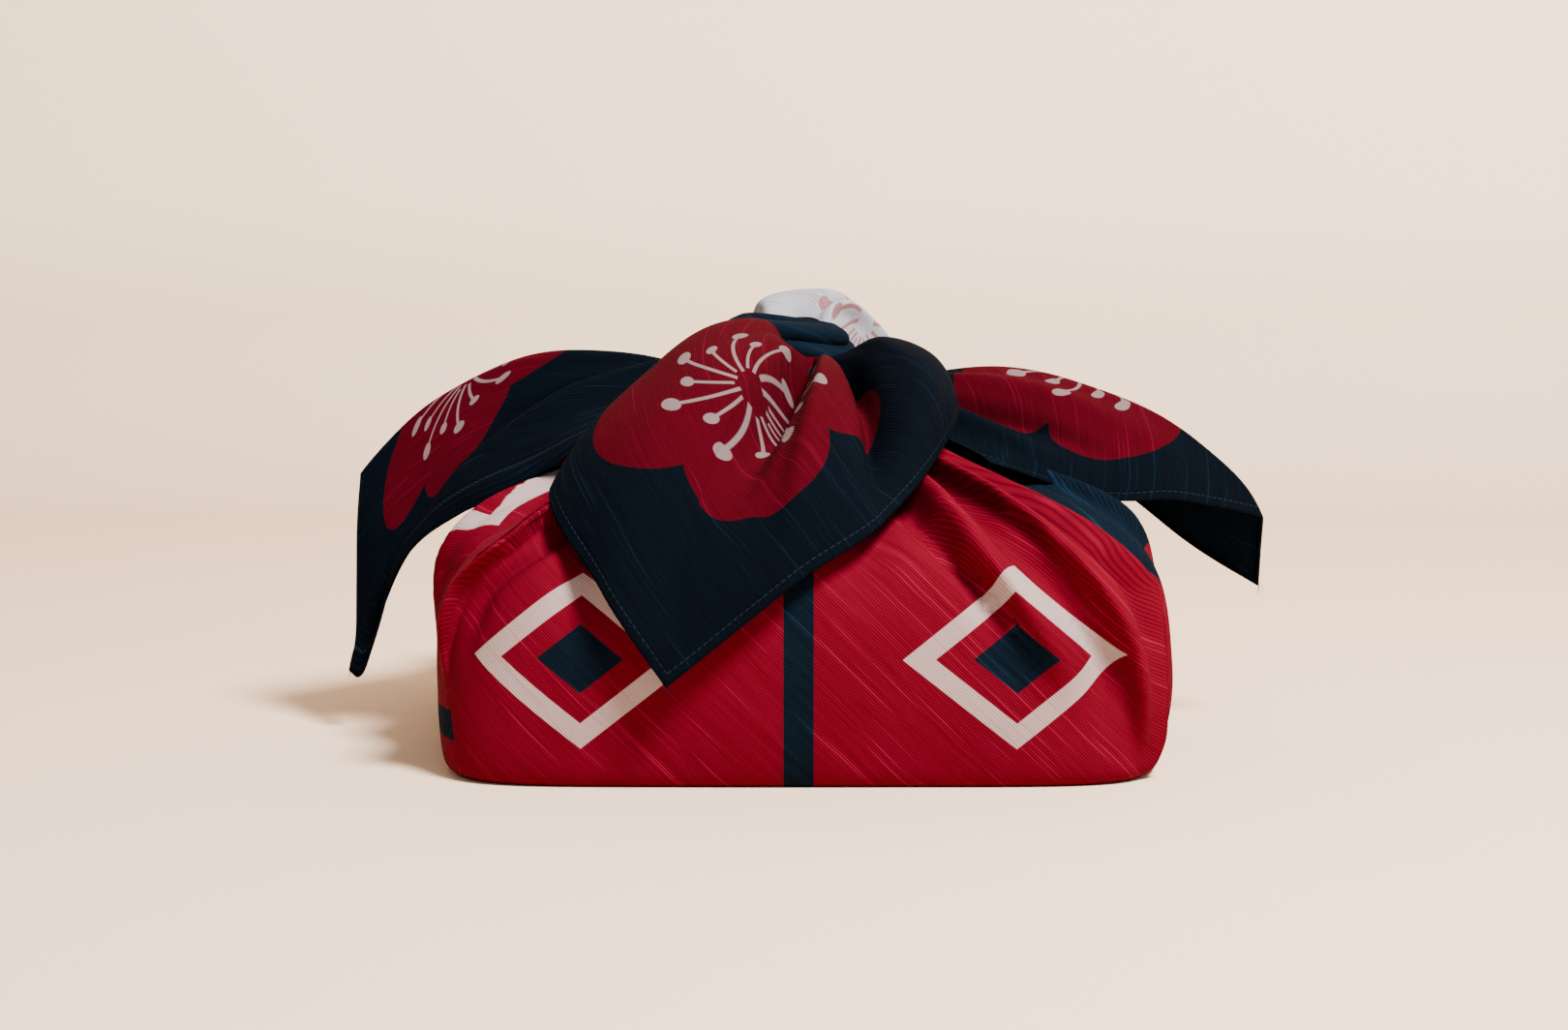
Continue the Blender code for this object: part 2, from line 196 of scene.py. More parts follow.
# Ribs of each tail: bearing at the knot (degrees), drop of the root, end point,
# length of the first handle, its rise, height of the last handle
FRONT_RIBS = (
    ("left underfold", -206.0, 0.0070, -0.058, -0.058, 0.1130, 0.022, 0.010, 0.010),
    ("left fold", -176.0, -0.0030, -0.088, -0.086, 0.1010, 0.019, 0.033, 0.019),
    ("left hem", -134.0, -0.0020, -0.069, -0.1200, 0.0710, 0.046, 0.018, 0.044),
    ("tip", -112.0, 0.0, -0.046, -0.1285, 0.0385, 0.052, 0.010, 0.062),
    ("near right hem", -98.0, 0.0, -0.024, -0.1255, 0.0560, 0.050, 0.006, 0.050),
    ("middle right hem", -84.0, 0.0, 0.001, -0.1200, 0.0750, 0.046, 0.004, 0.040),
    ("far right hem", -68.0, 0.0, 0.026, -0.1080, 0.0900, 0.042, 0.006, 0.030),
    ("roll hem", -50.0, 0.0, 0.045, -0.0800, 0.1060, 0.038, 0.008, 0.022),
    ("roll", -26.0, 0.0, 0.056, -0.0420, 0.1230, 0.030, 0.008, 0.016),
    ("roll underfold", -4.0, 0.0070, 0.038, -0.0420, 0.1160, 0.018, 0.000, 0.004),
)
LEFT_RIBS = (
    ("back hem", 112.0, 0.0020, -0.078, 0.0500, 0.1150, 0.030, 0.006, 0.018),
    ("back flap", 140.0, 0.0100, -0.126, 0.0400, 0.0940, 0.060, 0.022, 0.028),
    ("ridge end", 168.0, 0.0120, -0.1640, 0.0020, 0.0945, 0.085, 0.0360, 0.0260),
    ("outer hem", 174.0, 0.0090, -0.1655, -0.0060, 0.0560, 0.072, 0.0290, 0.050),
    ("outer strip", 179.0, 0.0040, -0.1655, -0.0105, 0.0340, 0.064, 0.0180, 0.066),
    ("tip", 181.0, 0.0020, -0.1678, -0.0120, 0.0226, 0.060, 0.0140, 0.074),
    ("inner strip", 183.0, 0.0, -0.1622, -0.0142, 0.0228, 0.060, 0.0130, 0.072),
    ("low hem", 189.0, 0.0, -0.1530, -0.0210, 0.0530, 0.058, 0.0100, 0.052),
    ("middle hem", 198.0, 0.0, -0.1405, -0.0275, 0.0725, 0.054, 0.007, 0.038),
    ("near hem", 208.0, 0.0, -0.1240, -0.0350, 0.0845, 0.048, 0.004, 0.027),
    ("inner hem", 220.0, 0.0010, -0.1050, -0.0420, 0.0940, 0.040, 0.003, 0.022),
    ("near underfold", 242.0, 0.0050, -0.076, -0.0480, 0.1130, 0.026, 0.000, 0.010),
)
RIGHT_RIBS = (
    ("near underfold", -78.0, 0.0050, 0.068, -0.0440, 0.1050, 0.020, 0.000, 0.006),
    ("near hem", -46.0, 0.0020, 0.110, -0.0340, 0.0905, 0.040, 0.003, 0.014),
    ("middle hem", -26.0, 0.0, 0.140, -0.0220, 0.0880, 0.052, 0.008, 0.020),
    ("outer corner", -8.0, 0.0, 0.173, -0.0020, 0.0790, 0.066, 0.016, 0.034),
    ("tip", 2.0, 0.0, 0.1725, 0.0060, 0.0520, 0.068, 0.016, 0.058),
    ("far outer hem", 14.0, 0.0, 0.150, 0.0220, 0.0650, 0.060, 0.014, 0.046),
    ("far hem", 34.0, 0.0, 0.118, 0.0360, 0.0880, 0.046, 0.008, 0.030),
    ("far underfold", 66.0, 0.0030, 0.076, 0.0460, 0.1120, 0.028, 0.002, 0.014),
)
BACK_RIBS = (
    ("right underfold", -16.0, 0.0080, 0.038, 0.0600, 0.1130, 0.010, 0.002, 0.004),
    ("right fold", 10.0, 0.0020, 0.056, 0.0880, 0.1010, 0.011, 0.016, 0.006),
    ("right hem", 44.0, 0.0, 0.052, 0.1200, 0.0740, 0.026, 0.033, 0.040),
    ("tip", 90.0, 0.0, 0.018, 0.1290, 0.0420, 0.030, 0.036, 0.064),
    ("left hem", 132.0, 0.0015, -0.018, 0.1220, 0.0720, 0.022, 0.027, 0.042),
    ("left fold", 168.0, 0.0060, -0.044, 0.0900, 0.1010, 0.018, 0.007, 0.008),
    ("left underfold", 196.0, 0.0080, -0.030, 0.0600, 0.1130, 0.010, 0.001, 0.004),
)

# Folds of each tail: place across the fan (0 to 1) at the knot and at the hem, height, half width,
# edge the steep side's share of that width and side the way it faces, where along the tail (0 to 1)
# it has risen fully and where it is dying out
FRONT_FOLDS = (
    ("petal swell", 0.26, 0.30, 0.0050, 0.13, 1.0, 1, 0.14, 0.90),
    ("inner valley", 0.46, 0.41, -0.0250, 0.068, 0.48, 1, 0.14, 0.66),
    ("lobe swell", 0.56, 0.53, 0.0080, 0.055, 0.60, -1, 0.34, 0.90),
    ("outer valley", 0.67, 0.70, -0.0165, 0.046, 0.70, -1, 0.20, 1.00),
    ("roll swell", 0.80, 0.82, 0.0055, 0.080, 0.50, -1, 0.25, 1.00),
)
LEFT_FOLDS = (
    ("far valley", 0.10, 0.10, -0.0040, 0.05, 1.0, 1, 0.25, 0.80),
    ("back ridge", 0.18, 0.18, 0.0030, 0.05, 0.6, 1, 0.25, 0.70),
    ("upper valley", 0.36, 0.33, -0.0055, 0.04, 0.7, 1, 0.20, 0.62),
    ("middle ridge", 0.46, 0.45, 0.0040, 0.04, 0.6, -1, 0.25, 0.70),
    ("front valley", 0.58, 0.56, -0.0060, 0.05, 0.6, 1, 0.22, 0.75),
    ("near ridge", 0.72, 0.70, 0.0055, 0.06, 0.6, -1, 0.25, 0.80),
)
RIGHT_FOLDS = (
    ("near lobe", 0.14, 0.12, 0.0050, 0.05, 0.8, 1, 0.25, 0.75),
    ("near valley", 0.25, 0.22, -0.0085, 0.05, 0.7, 1, 0.22, 0.80),
    ("near ridge", 0.35, 0.33, 0.0040, 0.05, 0.6, -1, 0.25, 0.80),
    ("crown", 0.50, 0.52, 0.0040, 0.10, 1.0, 1, 0.25, 0.90),
    ("far valley", 0.74, 0.74, -0.0045, 0.07, 1.0, 1, 0.25, 0.80),
)
BACK_FOLDS = (
    ("right roll", 0.24, 0.22, 0.0040, 0.04, 0.5, 1, 0.18, 0.60),
    ("right valley", 0.33, 0.30, -0.0055, 0.04, 0.7, 1, 0.18, 0.65),
    ("left valley", 0.72, 0.72, -0.0040, 0.05, 0.7, -1, 0.25, 0.70),
)

# Pivot of each fan in the knot, and the corner of the flat cloth it is made of: the direction of
# that corner and the direction that runs across it, in the cloth's p and q. At the knot the cloth
# is gathered to the share `squeeze` of its width at the hem, and lies `shift` metres to one side;
# `slip` lengthens the cloth along a tail whose ribs are shorter than the cloth gathered in them
TAILS = (
    ("front tail", (0.006, -0.004, 0.140), FRONT_RIBS, FRONT_FOLDS, (0, 1), (1, 0), 0.70, 0.0, 1.0),
    ("left tail", (-0.004, 0.001, 0.135), LEFT_RIBS, LEFT_FOLDS, (1, 0), (0, -1), 0.95, 0.170, 1.28),
    ("right tail", (0.015, 0.001, 0.127), RIGHT_RIBS, RIGHT_FOLDS, (-1, 0), (0, 1), 0.70, -0.011, 1.15),
    ("back tail", (-0.002, 0.006, 0.1520), BACK_RIBS, BACK_FOLDS, (0, -1), (-1, 0), 0.35, 0.040, 1.0),
)

# Turned hem (metres), and its rows: how far below the cloth, how far back from the edge, and how far
# in from the edge on the flat cloth
HEM_DEPTH = 0.0040
HEM_LIFT = 0.0010
HEM_ROWS = (
    (HEM_LIFT * 0.5, -HEM_LIFT * 0.35, 0.0),
    (HEM_LIFT, 0.0, 0.0003),
    (HEM_LIFT * 0.8, HEM_DEPTH, HEM_DEPTH),
    (0.0002, HEM_DEPTH + 0.0003, HEM_DEPTH),
)


def smooth_rows(rows, places):
    """Catmull-Rom curve through the rows, read at places counted in rows."""
    rows = np.asarray(rows, float)
    last = len(rows) - 1
    first = np.clip(np.floor(places).astype(int), 0, last - 1)
    t = (places - first)[:, None]
    before, here = rows[np.clip(first - 1, 0, last)], rows[first]
    after, beyond = rows[first + 1], rows[np.clip(first + 2, 0, last)]
    return 0.5 * (
        2.0 * here
        + (after - before) * t
        + (2.0 * before - 5.0 * here + 4.0 * after - beyond) * t**2
        + (3.0 * here - before - 3.0 * after + beyond) * t**3
    )


def cornered_rows(rows, places, corners):
    """Smooth runs of rows that meet in sharp corners at the given rows."""
    made = np.zeros((len(places), len(rows[0])))
    stops = (0, *corners, len(rows) - 1)
    for first, last in zip(stops, stops[1:]):
        run = smooth_rows(rows[first : last + 1], np.clip(places - first, 0.0, last - first))
        made = np.where(((places >= first) & (places <= last))[:, None], run, made)
    return made


def bell(distance):
    """Smooth bump: e to the minus distance squared."""
    return np.exp(-(distance**2))


def ease(value):
    """Smooth step from 0 to 1: three squares less two cubes."""
    value = np.clip(value, 0.0, 1.0)
    return value * value * (3.0 - 2.0 * value)


def one_sided_bell(distance, edge, side):
    """A bump whose side facing `side` falls `1 / edge` times as fast as the other."""
    facing = distance * side
    return bell(np.where(facing > 0.0, facing / edge, facing))


def unit(vectors):
    return vectors / np.maximum(np.linalg.norm(vectors, axis=-1, keepdims=True), 1e-12)


def grid_normals(points, closed_across):
    """Unit normals of a grid (across, along): the cross product of its two central differences."""
    along = np.gradient(points, axis=1)
    if closed_across:
        wrapped = np.concatenate((points[-1:], points, points[:1]))
        across = np.gradient(wrapped, axis=0)[1:-1]
    else:
        across = np.gradient(points, axis=0)
    return unit(np.cross(across, along))


def slack(points, size, pitch, phase):
    """Soft unevenness of cloth: a sum of three crossed sines of the position, each longer than the last."""
    x, y, z = np.moveaxis(points, -1, 0) * (2.0 * np.pi / pitch)
    return size * (
        np.sin(x * 0.9 + y * 0.4 + phase) * np.cos(z * 1.1 - y * 0.5)
        + 0.6 * np.sin(0.57 * y - 0.43 * z + 1.7 * phase) * np.cos(0.51 * x + 0.8)
        + 0.5 * np.cos(0.31 * x + 0.29 * y + 0.37 * z + 2.3 * phase)
    )


class ClothMesh:
    """Gathers grids of points with their place on the flat cloth, and makes one mesh of them."""

    def __init__(self):
        self.points, self.quads, self.uvs, self.count = [], [], [], 0

    def add_grid(self, points, flat):
        """Join a grid (across, along) into quads, with each point's place on the flat cloth."""
        columns, rows = points.shape[:2]
        i = np.arange(columns - 1)[:, None]
        k = np.arange(rows - 1)[None, :]
        after = i + 1
        corners = (i * rows + k, after * rows + k, after * rows + k + 1, i * rows + k + 1)
        self.quads.append(np.stack([c.ravel() for c in corners], axis=1) + self.count)
        own = (flat[i, k], flat[i + 1, k], flat[i + 1, k + 1], flat[i, k + 1])
        self.uvs.append(np.stack([f.reshape(-1, 2) for f in own], axis=1))
        self.points.append(points.reshape(-1, 3))
        self.count += columns * rows

    def make(self, name):
        points, quads = np.concatenate(self.points), np.concatenate(self.quads)
        uvs = np.concatenate(self.uvs)
        mesh = bpy.data.meshes.new(name)
        mesh.vertices.add(len(points))
        mesh.vertices.foreach_set("co", points.astype(np.float32).ravel())
        mesh.loops.add(len(quads) * 4)
        mesh.loops.foreach_set("vertex_index", quads.astype(np.int32).ravel())
        mesh.polygons.add(len(quads))
        mesh.polygons.foreach_set("loop_start", np.arange(0, len(quads) * 4, 4, dtype=np.int32))
        layer = mesh.uv_layers.new(name="flat_cloth")
        mesh.update(calc_edges=True)
        layer.data.foreach_set("uv", uvs.astype(np.float32).ravel())
        mesh.validate()
        mesh.shade_smooth()
        obj = bpy.data.objects.new(name, mesh)
        bpy.context.scene.collection.objects.link(obj)
        return obj


def station_bearing(bearings, level):
    return np.interp(level, STATIONS, bearings)


def outline_points(bearing, share, height, squareness, shape):
    """Superellipse x and y at a bearing, shrunk by the level's share."""
    reach = share * (
        np.abs(np.cos(bearing) / shape.half_width) ** squareness
        + np.abs(np.sin(bearing) / shape.half_depth) ** squareness
    ) ** (-1.0 / squareness)
    x, y = reach * np.cos(bearing), reach * np.sin(bearing)
    return np.stack((x, y, np.broadcast_to(height, x.shape)), axis=2)


def panel_bearings(level):
    """Bearings of the columns, crowded towards the tucks between the four sides of the wrap.

    Each side runs from one tuck to the next: start + (end - start) times
    (u - crowding * sin(2 pi u) / (2 pi)), with u from 0 to 1.
    """
    u = np.arange(PANEL_COLUMNS)[:, None] / PANEL_COLUMNS
    u = u - END_CROWDING * np.sin(2.0 * np.pi * u) / (2.0 * np.pi)
    starts = [station_bearing(bearings, level) for _, bearings in SEAMS]
    starts.append(starts[0] + 360.0)
    starts[3] = starts[3] + 360.0
    sides = [a + (b - a) * u for a, b in zip(starts, starts[1:])]
    return np.radians(np.concatenate(sides))


def bundle_skin(shape):
    """Skin of the bundle: rounded box outlines, pushed along the normal and slid sideways by folds."""
    places = np.linspace(0.0, len(LEVELS) - 1.0, (len(LEVELS) - 1) * ROWS_PER_LEVEL + 1)
    share, height, squareness = smooth_rows([row[1:] for row in LEVELS], places).T
    level = places[None, :]
    bearing = panel_bearings(level)
    plain = outline_points(bearing, share, height, squareness, shape)
    degrees = np.degrees((bearing + np.pi) % (2.0 * np.pi) - np.pi)

    push = WALL_BULGE * np.cos(2.0 * bearing) ** 2 * bell((level - BULGE_LEVEL) / BULGE_WIDTH)
    slide = np.zeros_like(push)
    spread = 1.0 + FOLD_SPREAD * ease((level - SPREAD_LEVEL) / SPREAD_LEVELS)
    for _, bearings, size, width, edge, side, lap, low, high in BUNDLE_FOLDS:
        away = (degrees - station_bearing(bearings, level) + 180.0) % 360.0 - 180.0
        fade = ease((level - low) / FADE_IN) * ease((high + 1.0 - level) / FADE_OUT)
        bump = one_sided_bell(away / (width * spread), edge, side)
        push += size * fade * bump
        slide += side * lap * fade * bump
    unevenness = slack(plain, shape.slack * BUNDLE_SLACK_SHARE, BUNDLE_SLACK_PITCH, 0.4)
    push += unevenness * ease(level / 2.0)
    normal = grid_normals(plain, True)
    tangent = unit(np.cross((0.0, 0.0, 1.0), normal))
    points = plain + normal * push[:, :, None] + tangent * slide[:, :, None]
    points[:, 0, 2] = 0.0
    points[:, :, 2] = np.maximum(points[:, :, 2], 0.0)
    return plain, points


def bundle_flat(plain, shape):
    """Place on the flat cloth of every point of the skin, side by side.

    Outwards it is the distance up the middle of the side, across it the distance round
    the outline from the middle, held within the cloth's own edges.
    """
    rise = np.linalg.norm(np.diff(plain, axis=1), axis=2)
    flats = []
    directions = ((1, 0), (0, 1), (-1, 0), (0, -1))
    edges = (shape.half_width, shape.half_depth) * 2
    for n, (out, edge) in enumerate(zip(directions, edges)):
        columns = np.arange(n * PANEL_COLUMNS, (n + 1) * PANEL_COLUMNS + 1) % len(plain)
        side = plain[columns]
        middle = PANEL_COLUMNS // 2
        height = np.concatenate(((0.0,), np.cumsum(rise[columns[middle]])))
        out = np.array(out, float)
        across = np.array((-out[1], out[0]))
        step = np.linalg.norm(np.diff(side, axis=0), axis=2)
        round_it = np.concatenate((np.zeros((1, side.shape[1])), np.cumsum(step, axis=0)))
        offset = side[middle, :, :2] @ across
        lateral = round_it - round_it[middle] + offset
        outward = np.broadcast_to(edge + height, lateral.shape)
        lateral = lateral * np.minimum(1.0, (outward + CORNER_EXCESS) / np.abs(lateral).max(axis=0))
        flats.append(outward[:, :, None] * out + lateral[:, :, None] * across)
    return flats


def hidden_layer(points, flats):
    """Cloth of the sides that passes beneath the front and the back: the skin, moved inwards."""
    rows = slice(*HIDDEN_ROWS, HIDDEN_STEP)
    inner = points - grid_normals(points, True) * HIDDEN_GAP
    return inner[:, rows], [flat[::HIDDEN_STEP, rows] for flat in flats]


def base_rings(points):
    """Underside: the floor edge shrunk in rings towards the middle, all at the floor."""
    shares = np.linspace(1.0, INNERMOST_RING, BASE_RINGS)[None, :, None]
    rings = points[:, :1] * shares
    rings[:, :, 2] = 0.0
    return rings[:, ::-1]


def add_bundle(cloth, shape):
    """Four sides of the wrap, the layer hidden beneath them and the underside."""
    plain, points = bundle_skin(shape)
    flats = bundle_flat(plain, shape)
    for n, flat in enumerate(flats):
        columns = np.arange(n * PANEL_COLUMNS, (n + 1) * PANEL_COLUMNS + 1) % len(points)
        cloth.add_grid(points[columns], flat)
    inner, inner_flats = hidden_layer(points, flats)
    for n, flat in enumerate(inner_flats):
        columns = np.arange(n * PANEL_COLUMNS, (n + 1) * PANEL_COLUMNS + 1, HIDDEN_STEP) % len(points)
        cloth.add_grid(inner[columns], flat)
    rings = base_rings(points)
    closed = np.concatenate((rings, rings[:1]))
    cloth.add_grid(closed, closed[:, :, :2])


def rib_curves(pivot, ribs):
    """Bezier curve of each column of a fan, between ribs that are joined smoothly but for the tip."""
    pivot = np.array(pivot)
    controls = []
    for _, bearing, drop, x, y, z, forward, rise, hang in ribs:
        end = np.array((x, y, z))
        angle = np.radians(bearing)
        way = np.array((np.cos(angle), np.sin(angle), 0.0))
        root = pivot + way * ROOT_RADIUS - (0.0, 0.0, drop)
        leave = root + way * forward + (0.0, 0.0, rise)
        arrive = end + (root - end) * (INSET, INSET, 0.0) + (0.0, 0.0, hang)
        controls.append(np.concatenate((root, leave, arrive, end)))
    names = [rib[0] for rib in ribs]
    corners = [names.index(name) for name in ("ridge end", "outer corner", "tip") if name in names]
    places = np.linspace(0.0, len(ribs) - 1.0, (len(ribs) - 1) * COLUMNS_PER_RIB + 1)
    control = smooth_rows(controls, places).reshape(-1, 4, 3)
    control[:, 2:] = cornered_rows(controls, places, corners).reshape(-1, 4, 3)[:, 2:]
    t = np.linspace(0.0, 1.0, TAIL_STEPS)[None, :, None]
    points = (
        control[:, None, 0] * (1.0 - t) ** 3
        + control[:, None, 1] * 3.0 * t * (1.0 - t) ** 2
        + control[:, None, 2] * 3.0 * t**2 * (1.0 - t)
        + control[:, None, 3] * t**3
    )
    return points, places / places[-1], t[:, :, 0], names.index("tip") * COLUMNS_PER_RIB


def tail_surface(pivot, ribs, folds, shape, phase):
    """Fan of curves from the knot to the hem, pushed along its normal by folds and slack."""
    points, across, along, tip = rib_curves(pivot, ribs)
    push = np.zeros(points.shape[:2])
    for _, knot_place, hem_place, size, width, edge, side, risen, reach in folds:
        place = knot_place + (hem_place - knot_place) * along
        fade = ease(along / risen) * (1.0 - ease((along - reach + FOLD_FADE_AHEAD) / FOLD_FADE))
        push += size * fade * one_sided_bell((across[:, None] - place) / width, edge, side)
    push += slack(points, shape.slack, TAIL_SLACK_PITCH, phase) * ease(along / SLACK_START)
    normal = grid_normals(points, False)
    normal *= np.sign(normal[:, :, 2].mean())
    points = points + normal * push[:, :, None]
    return points, normal, tip


def tail_flat(points, tip, out, across, squeeze, shift, slip):
    """Place of a tail on the flat cloth.

    The hem is laid out from the corner at its real length, the root is a line across the
    cloth as far from the corner as the rib of the tip is long, and each rib is measured
    along its own curve between them.
    """
    out, across = np.array(out, float), np.array(across, float)
    hem = points[:, -1]
    step = np.linalg.norm(np.diff(hem, axis=0), axis=1)
    walked = np.concatenate(((0.0,), np.cumsum(step)))
    walked = walked - walked[tip]
    inward = np.abs(walked) / math.sqrt(2.0)
    sideways = walked / math.sqrt(2.0)
    length = np.linalg.norm(np.diff(points, axis=1), axis=2)
    along = np.concatenate((np.zeros((len(points), 1)), np.cumsum(length, axis=1)), axis=1)
    share = along / along[:, -1:]
    root = along[tip, -1] * slip
    a = root + (inward[:, None] - root) * share
    b = sideways[:, None] * (squeeze + (1.0 - squeeze) * share) + shift * (1.0 - share)
    return (CORNER_REACH - a)[:, :, None] * out + b[:, :, None] * across


def turned_hem(points, normal, flat):
    """Rows that carry the sheet round its edge and back beneath itself, as a hem is turned."""
    edge, inner = points[:, -1], points[:, -2]
    inward = unit(inner - edge)
    below = -normal[:, -1]
    back = unit(flat[:, -2] - flat[:, -1])
    turn = [edge + below * drop + inward * reach for drop, reach, _ in HEM_ROWS]
    flats = [flat[:, -1] + back * depth for _, _, depth in HEM_ROWS]
    turned = np.concatenate((points, np.stack(turn, axis=1)), axis=1)
    return turned, np.concatenate((flat, np.stack(flats, axis=1)), axis=1)


def add_tails(cloth, shape):
    """The four free corners, each a fan with its folds and its turned hem."""
    for n, (_, pivot, ribs, folds, *corner) in enumerate(TAILS):
        points, normal, tip = tail_surface(pivot, ribs, folds, shape, 1.3 * n)
        flat = tail_flat(points, tip, *corner)
        points, flat = turned_hem(points, normal, flat)
        cloth.add_grid(points, flat)


# Loose threads: start, end, sideways bow and width (metres)
THREADS = (
    ((0.1722, 0.0058, 0.0525), (0.1712, 0.0030, 0.0478), 0.0004, 0.00030),
    ((0.1726, 0.0062, 0.0523), (0.1738, 0.0040, 0.0474), -0.0005, 0.00030),
    ((0.1729, 0.0060, 0.0530), (0.1741, 0.0046, 0.0496), 0.0003, 0.00026),
    ((-0.0462, -0.1284, 0.0385), (-0.0445, -0.1300, 0.0352), 0.0004, 0.00035),
    ((-0.0458, -0.1286, 0.0382), (-0.0462, -0.1302, 0.0350), -0.0004, 0.00030),
    ((-0.0452, -0.1284, 0.0390), (-0.0432, -0.1298, 0.0366), 0.0003, 0.00030),
    ((-0.1674, -0.0120, 0.0222), (-0.1688, -0.0126, 0.0192), 0.0003, 0.00030),
)
THREAD_STEPS = 10
THREAD_TAPER = 0.6

# Places on the flat cloth that give the threads their colour: off-white for those of the right
# tail, navy for the others
THREAD_FLAT = (0.10775, -0.162)
TIP_FLAT = (0.03, 0.470)


def add_threads(cloth):
    """Thread ends at the tips: strips along a parabola, start + (end - start) t + bow 4 t (1 - t)."""
    t = np.linspace(0.0, 1.0, THREAD_STEPS)[:, None]
    for start, end, bow, width in THREADS:
        start, end = np.array(start), np.array(end)
        side = np.array((1.0, 0.0, 0.0))
        middle = start + (end - start) * t + side * bow * 4.0 * t * (1.0 - t)
        half = width * (1.0 - THREAD_TAPER * t) / 2.0
        points = np.stack((middle - side * half, middle + side * half))
        place = THREAD_FLAT if start[0] > 0.0 else TIP_FLAT
        cloth.add_grid(points, np.broadcast_to(place, (2, THREAD_STEPS, 2)))


# Turns of the knot: centre, radii of the loop, its tilt about x, y and z (degrees), radius of the
# rolled cloth, number of gathers round it
KNOT_TURNS = (
    ("lower turn", (0.004, 0.001, 0.1290), (0.0165, 0.0155), (6.0, -4.0, 0.0), 0.0098, 7),
    ("upper turn", (-0.002, 0.004, 0.1385), (0.0165, 0.0110), (-6.0, 10.0, 0.0), 0.0085, 5),
    ("roll under the hump", (-0.0050, -0.0010, 0.1472), (0.0170, 0.0060), (0.0, 6.0, 0.0), 0.0056, 3),
)
KNOT_GRID = (96, 48)

# Depth of the gathers as a share of the radius, how far they twist (radians), depth of the sway
GATHER_DEPTH = 0.10
GATHER_TWIST = 1.5
SWAY_DEPTH = 0.05

# Where the knot's cloth lies in its corner: start and reach of the distance from the corner's tip
# and of the place across it (metres)
KNOT_AWAY = (0.125, 0.070)
KNOT_ACROSS = (0.090, 0.062)


def add_knot(cloth):
    """Rolls of cloth bent into loops: a circle of gathers carried round a tilted ellipse."""
    u = np.linspace(0.0, 2.0 * np.pi, KNOT_GRID[0] + 1)[:, None]
    v = np.linspace(0.0, 2.0 * np.pi, KNOT_GRID[1] + 1)[None, :]
    for _, centre, radii, tilt, thick, gathers in KNOT_TURNS:
        gather = GATHER_DEPTH * np.cos(gathers * v + GATHER_TWIST * np.sin(u))
        ridge = 1.0 + gather + SWAY_DEPTH * np.cos(2.0 * u + v)
        out = thick * ridge * np.cos(v)
        up = thick * ridge * np.sin(v)
        x = (radii[0] + out) * np.cos(u)
        y = (radii[1] + out) * np.sin(u)
        points = np.stack((x, y, up), axis=2)
        ax, ay, az = np.radians(tilt)
        turn_x = np.array(((1, 0, 0), (0, np.cos(ax), -np.sin(ax)), (0, np.sin(ax), np.cos(ax))))
        turn_y = np.array(((np.cos(ay), 0, np.sin(ay)), (0, 1, 0), (-np.sin(ay), 0, np.cos(ay))))
        turn_z = np.array(((np.cos(az), -np.sin(az), 0), (np.sin(az), np.cos(az), 0), (0, 0, 1)))
        points = points @ (turn_z @ turn_y @ turn_x).T + centre
        a = KNOT_AWAY[0] + KNOT_AWAY[1] * u / (2.0 * np.pi)
        b = KNOT_ACROSS[0] + KNOT_ACROSS[1] * v / (2.0 * np.pi)
        flat = np.stack(np.broadcast_arrays(b, CORNER_REACH - a), axis=2)
        cloth.add_grid(points, flat)


class NodeBench:
    """Short way to write shader sums: every call adds one Math node and gives its output."""

    def __init__(self, tree):
        self.tree = tree

    def node(self, kind, **settings):
        node = self.tree.nodes.new(kind)
        for key, value in settings.items():
            setattr(node, key, value)
        return node

    def feed(self, socket, value):
        if isinstance(value, bpy.types.NodeSocket):
            self.tree.links.new(value, socket)
        else:
            socket.default_value = value

    def sum(self, operation, *values, clamp=False):
        node = self.node("ShaderNodeMath", operation=operation, use_clamp=clamp)
        for socket, value in zip(node.inputs, values):
            self.feed(socket, value)
        return node.outputs[0]

    def add(self, a, b):
        return self.sum("ADD", a, b)

    def less(self, a, b, clamp=False):
        return self.sum("SUBTRACT", a, b, clamp=clamp)

    def times(self, a, b, clamp=False):
        return self.sum("MULTIPLY", a, b, clamp=clamp)

    def most(self, a, b):
        return self.sum("MAXIMUM", a, b)

    def size(self, a):
        return self.sum("ABSOLUTE", a)

    def inside(self, distance, radius, soft):
        """1 where distance is under radius, 0 past it, with an edge of the width `soft`."""
        node = self.node("ShaderNodeMapRange", interpolation_type="SMOOTHSTEP")
        self.feed(node.inputs["Value"], distance)
        self.feed(node.inputs["From Min"], self.less(radius, soft))
        self.feed(node.inputs["From Max"], self.add(radius, soft))
        node.inputs["To Min"].default_value = 1.0
        node.inputs["To Max"].default_value = 0.0
        return node.outputs["Result"]

    def length(self, x, y):
        squares = self.add(self.times(x, x), self.times(y, y))
        return self.sum("SQRT", squares)

    def mix(self, share, a, b, blend="MIX"):
        node = self.node("ShaderNodeMix", data_type="RGBA", blend_type=blend)
        self.feed(node.inputs["Factor"], share)
        self.feed(node.inputs["A"], a)
        self.feed(node.inputs["B"], b)
        return node.outputs["Result"]

    def vector(self, x, y, z=0.0):
        node = self.node("ShaderNodeCombineXYZ")
        for socket, value in zip(node.inputs, (x, y, z)):
            self.feed(socket, value)
        return node.outputs[0]

    def noise(self, vector, scale, detail):
        node = self.node("ShaderNodeTexNoise")
        self.feed(node.inputs["Vector"], vector)
        node.inputs["Scale"].default_value = scale
        node.inputs["Detail"].default_value = detail
        return node.outputs["Fac"]


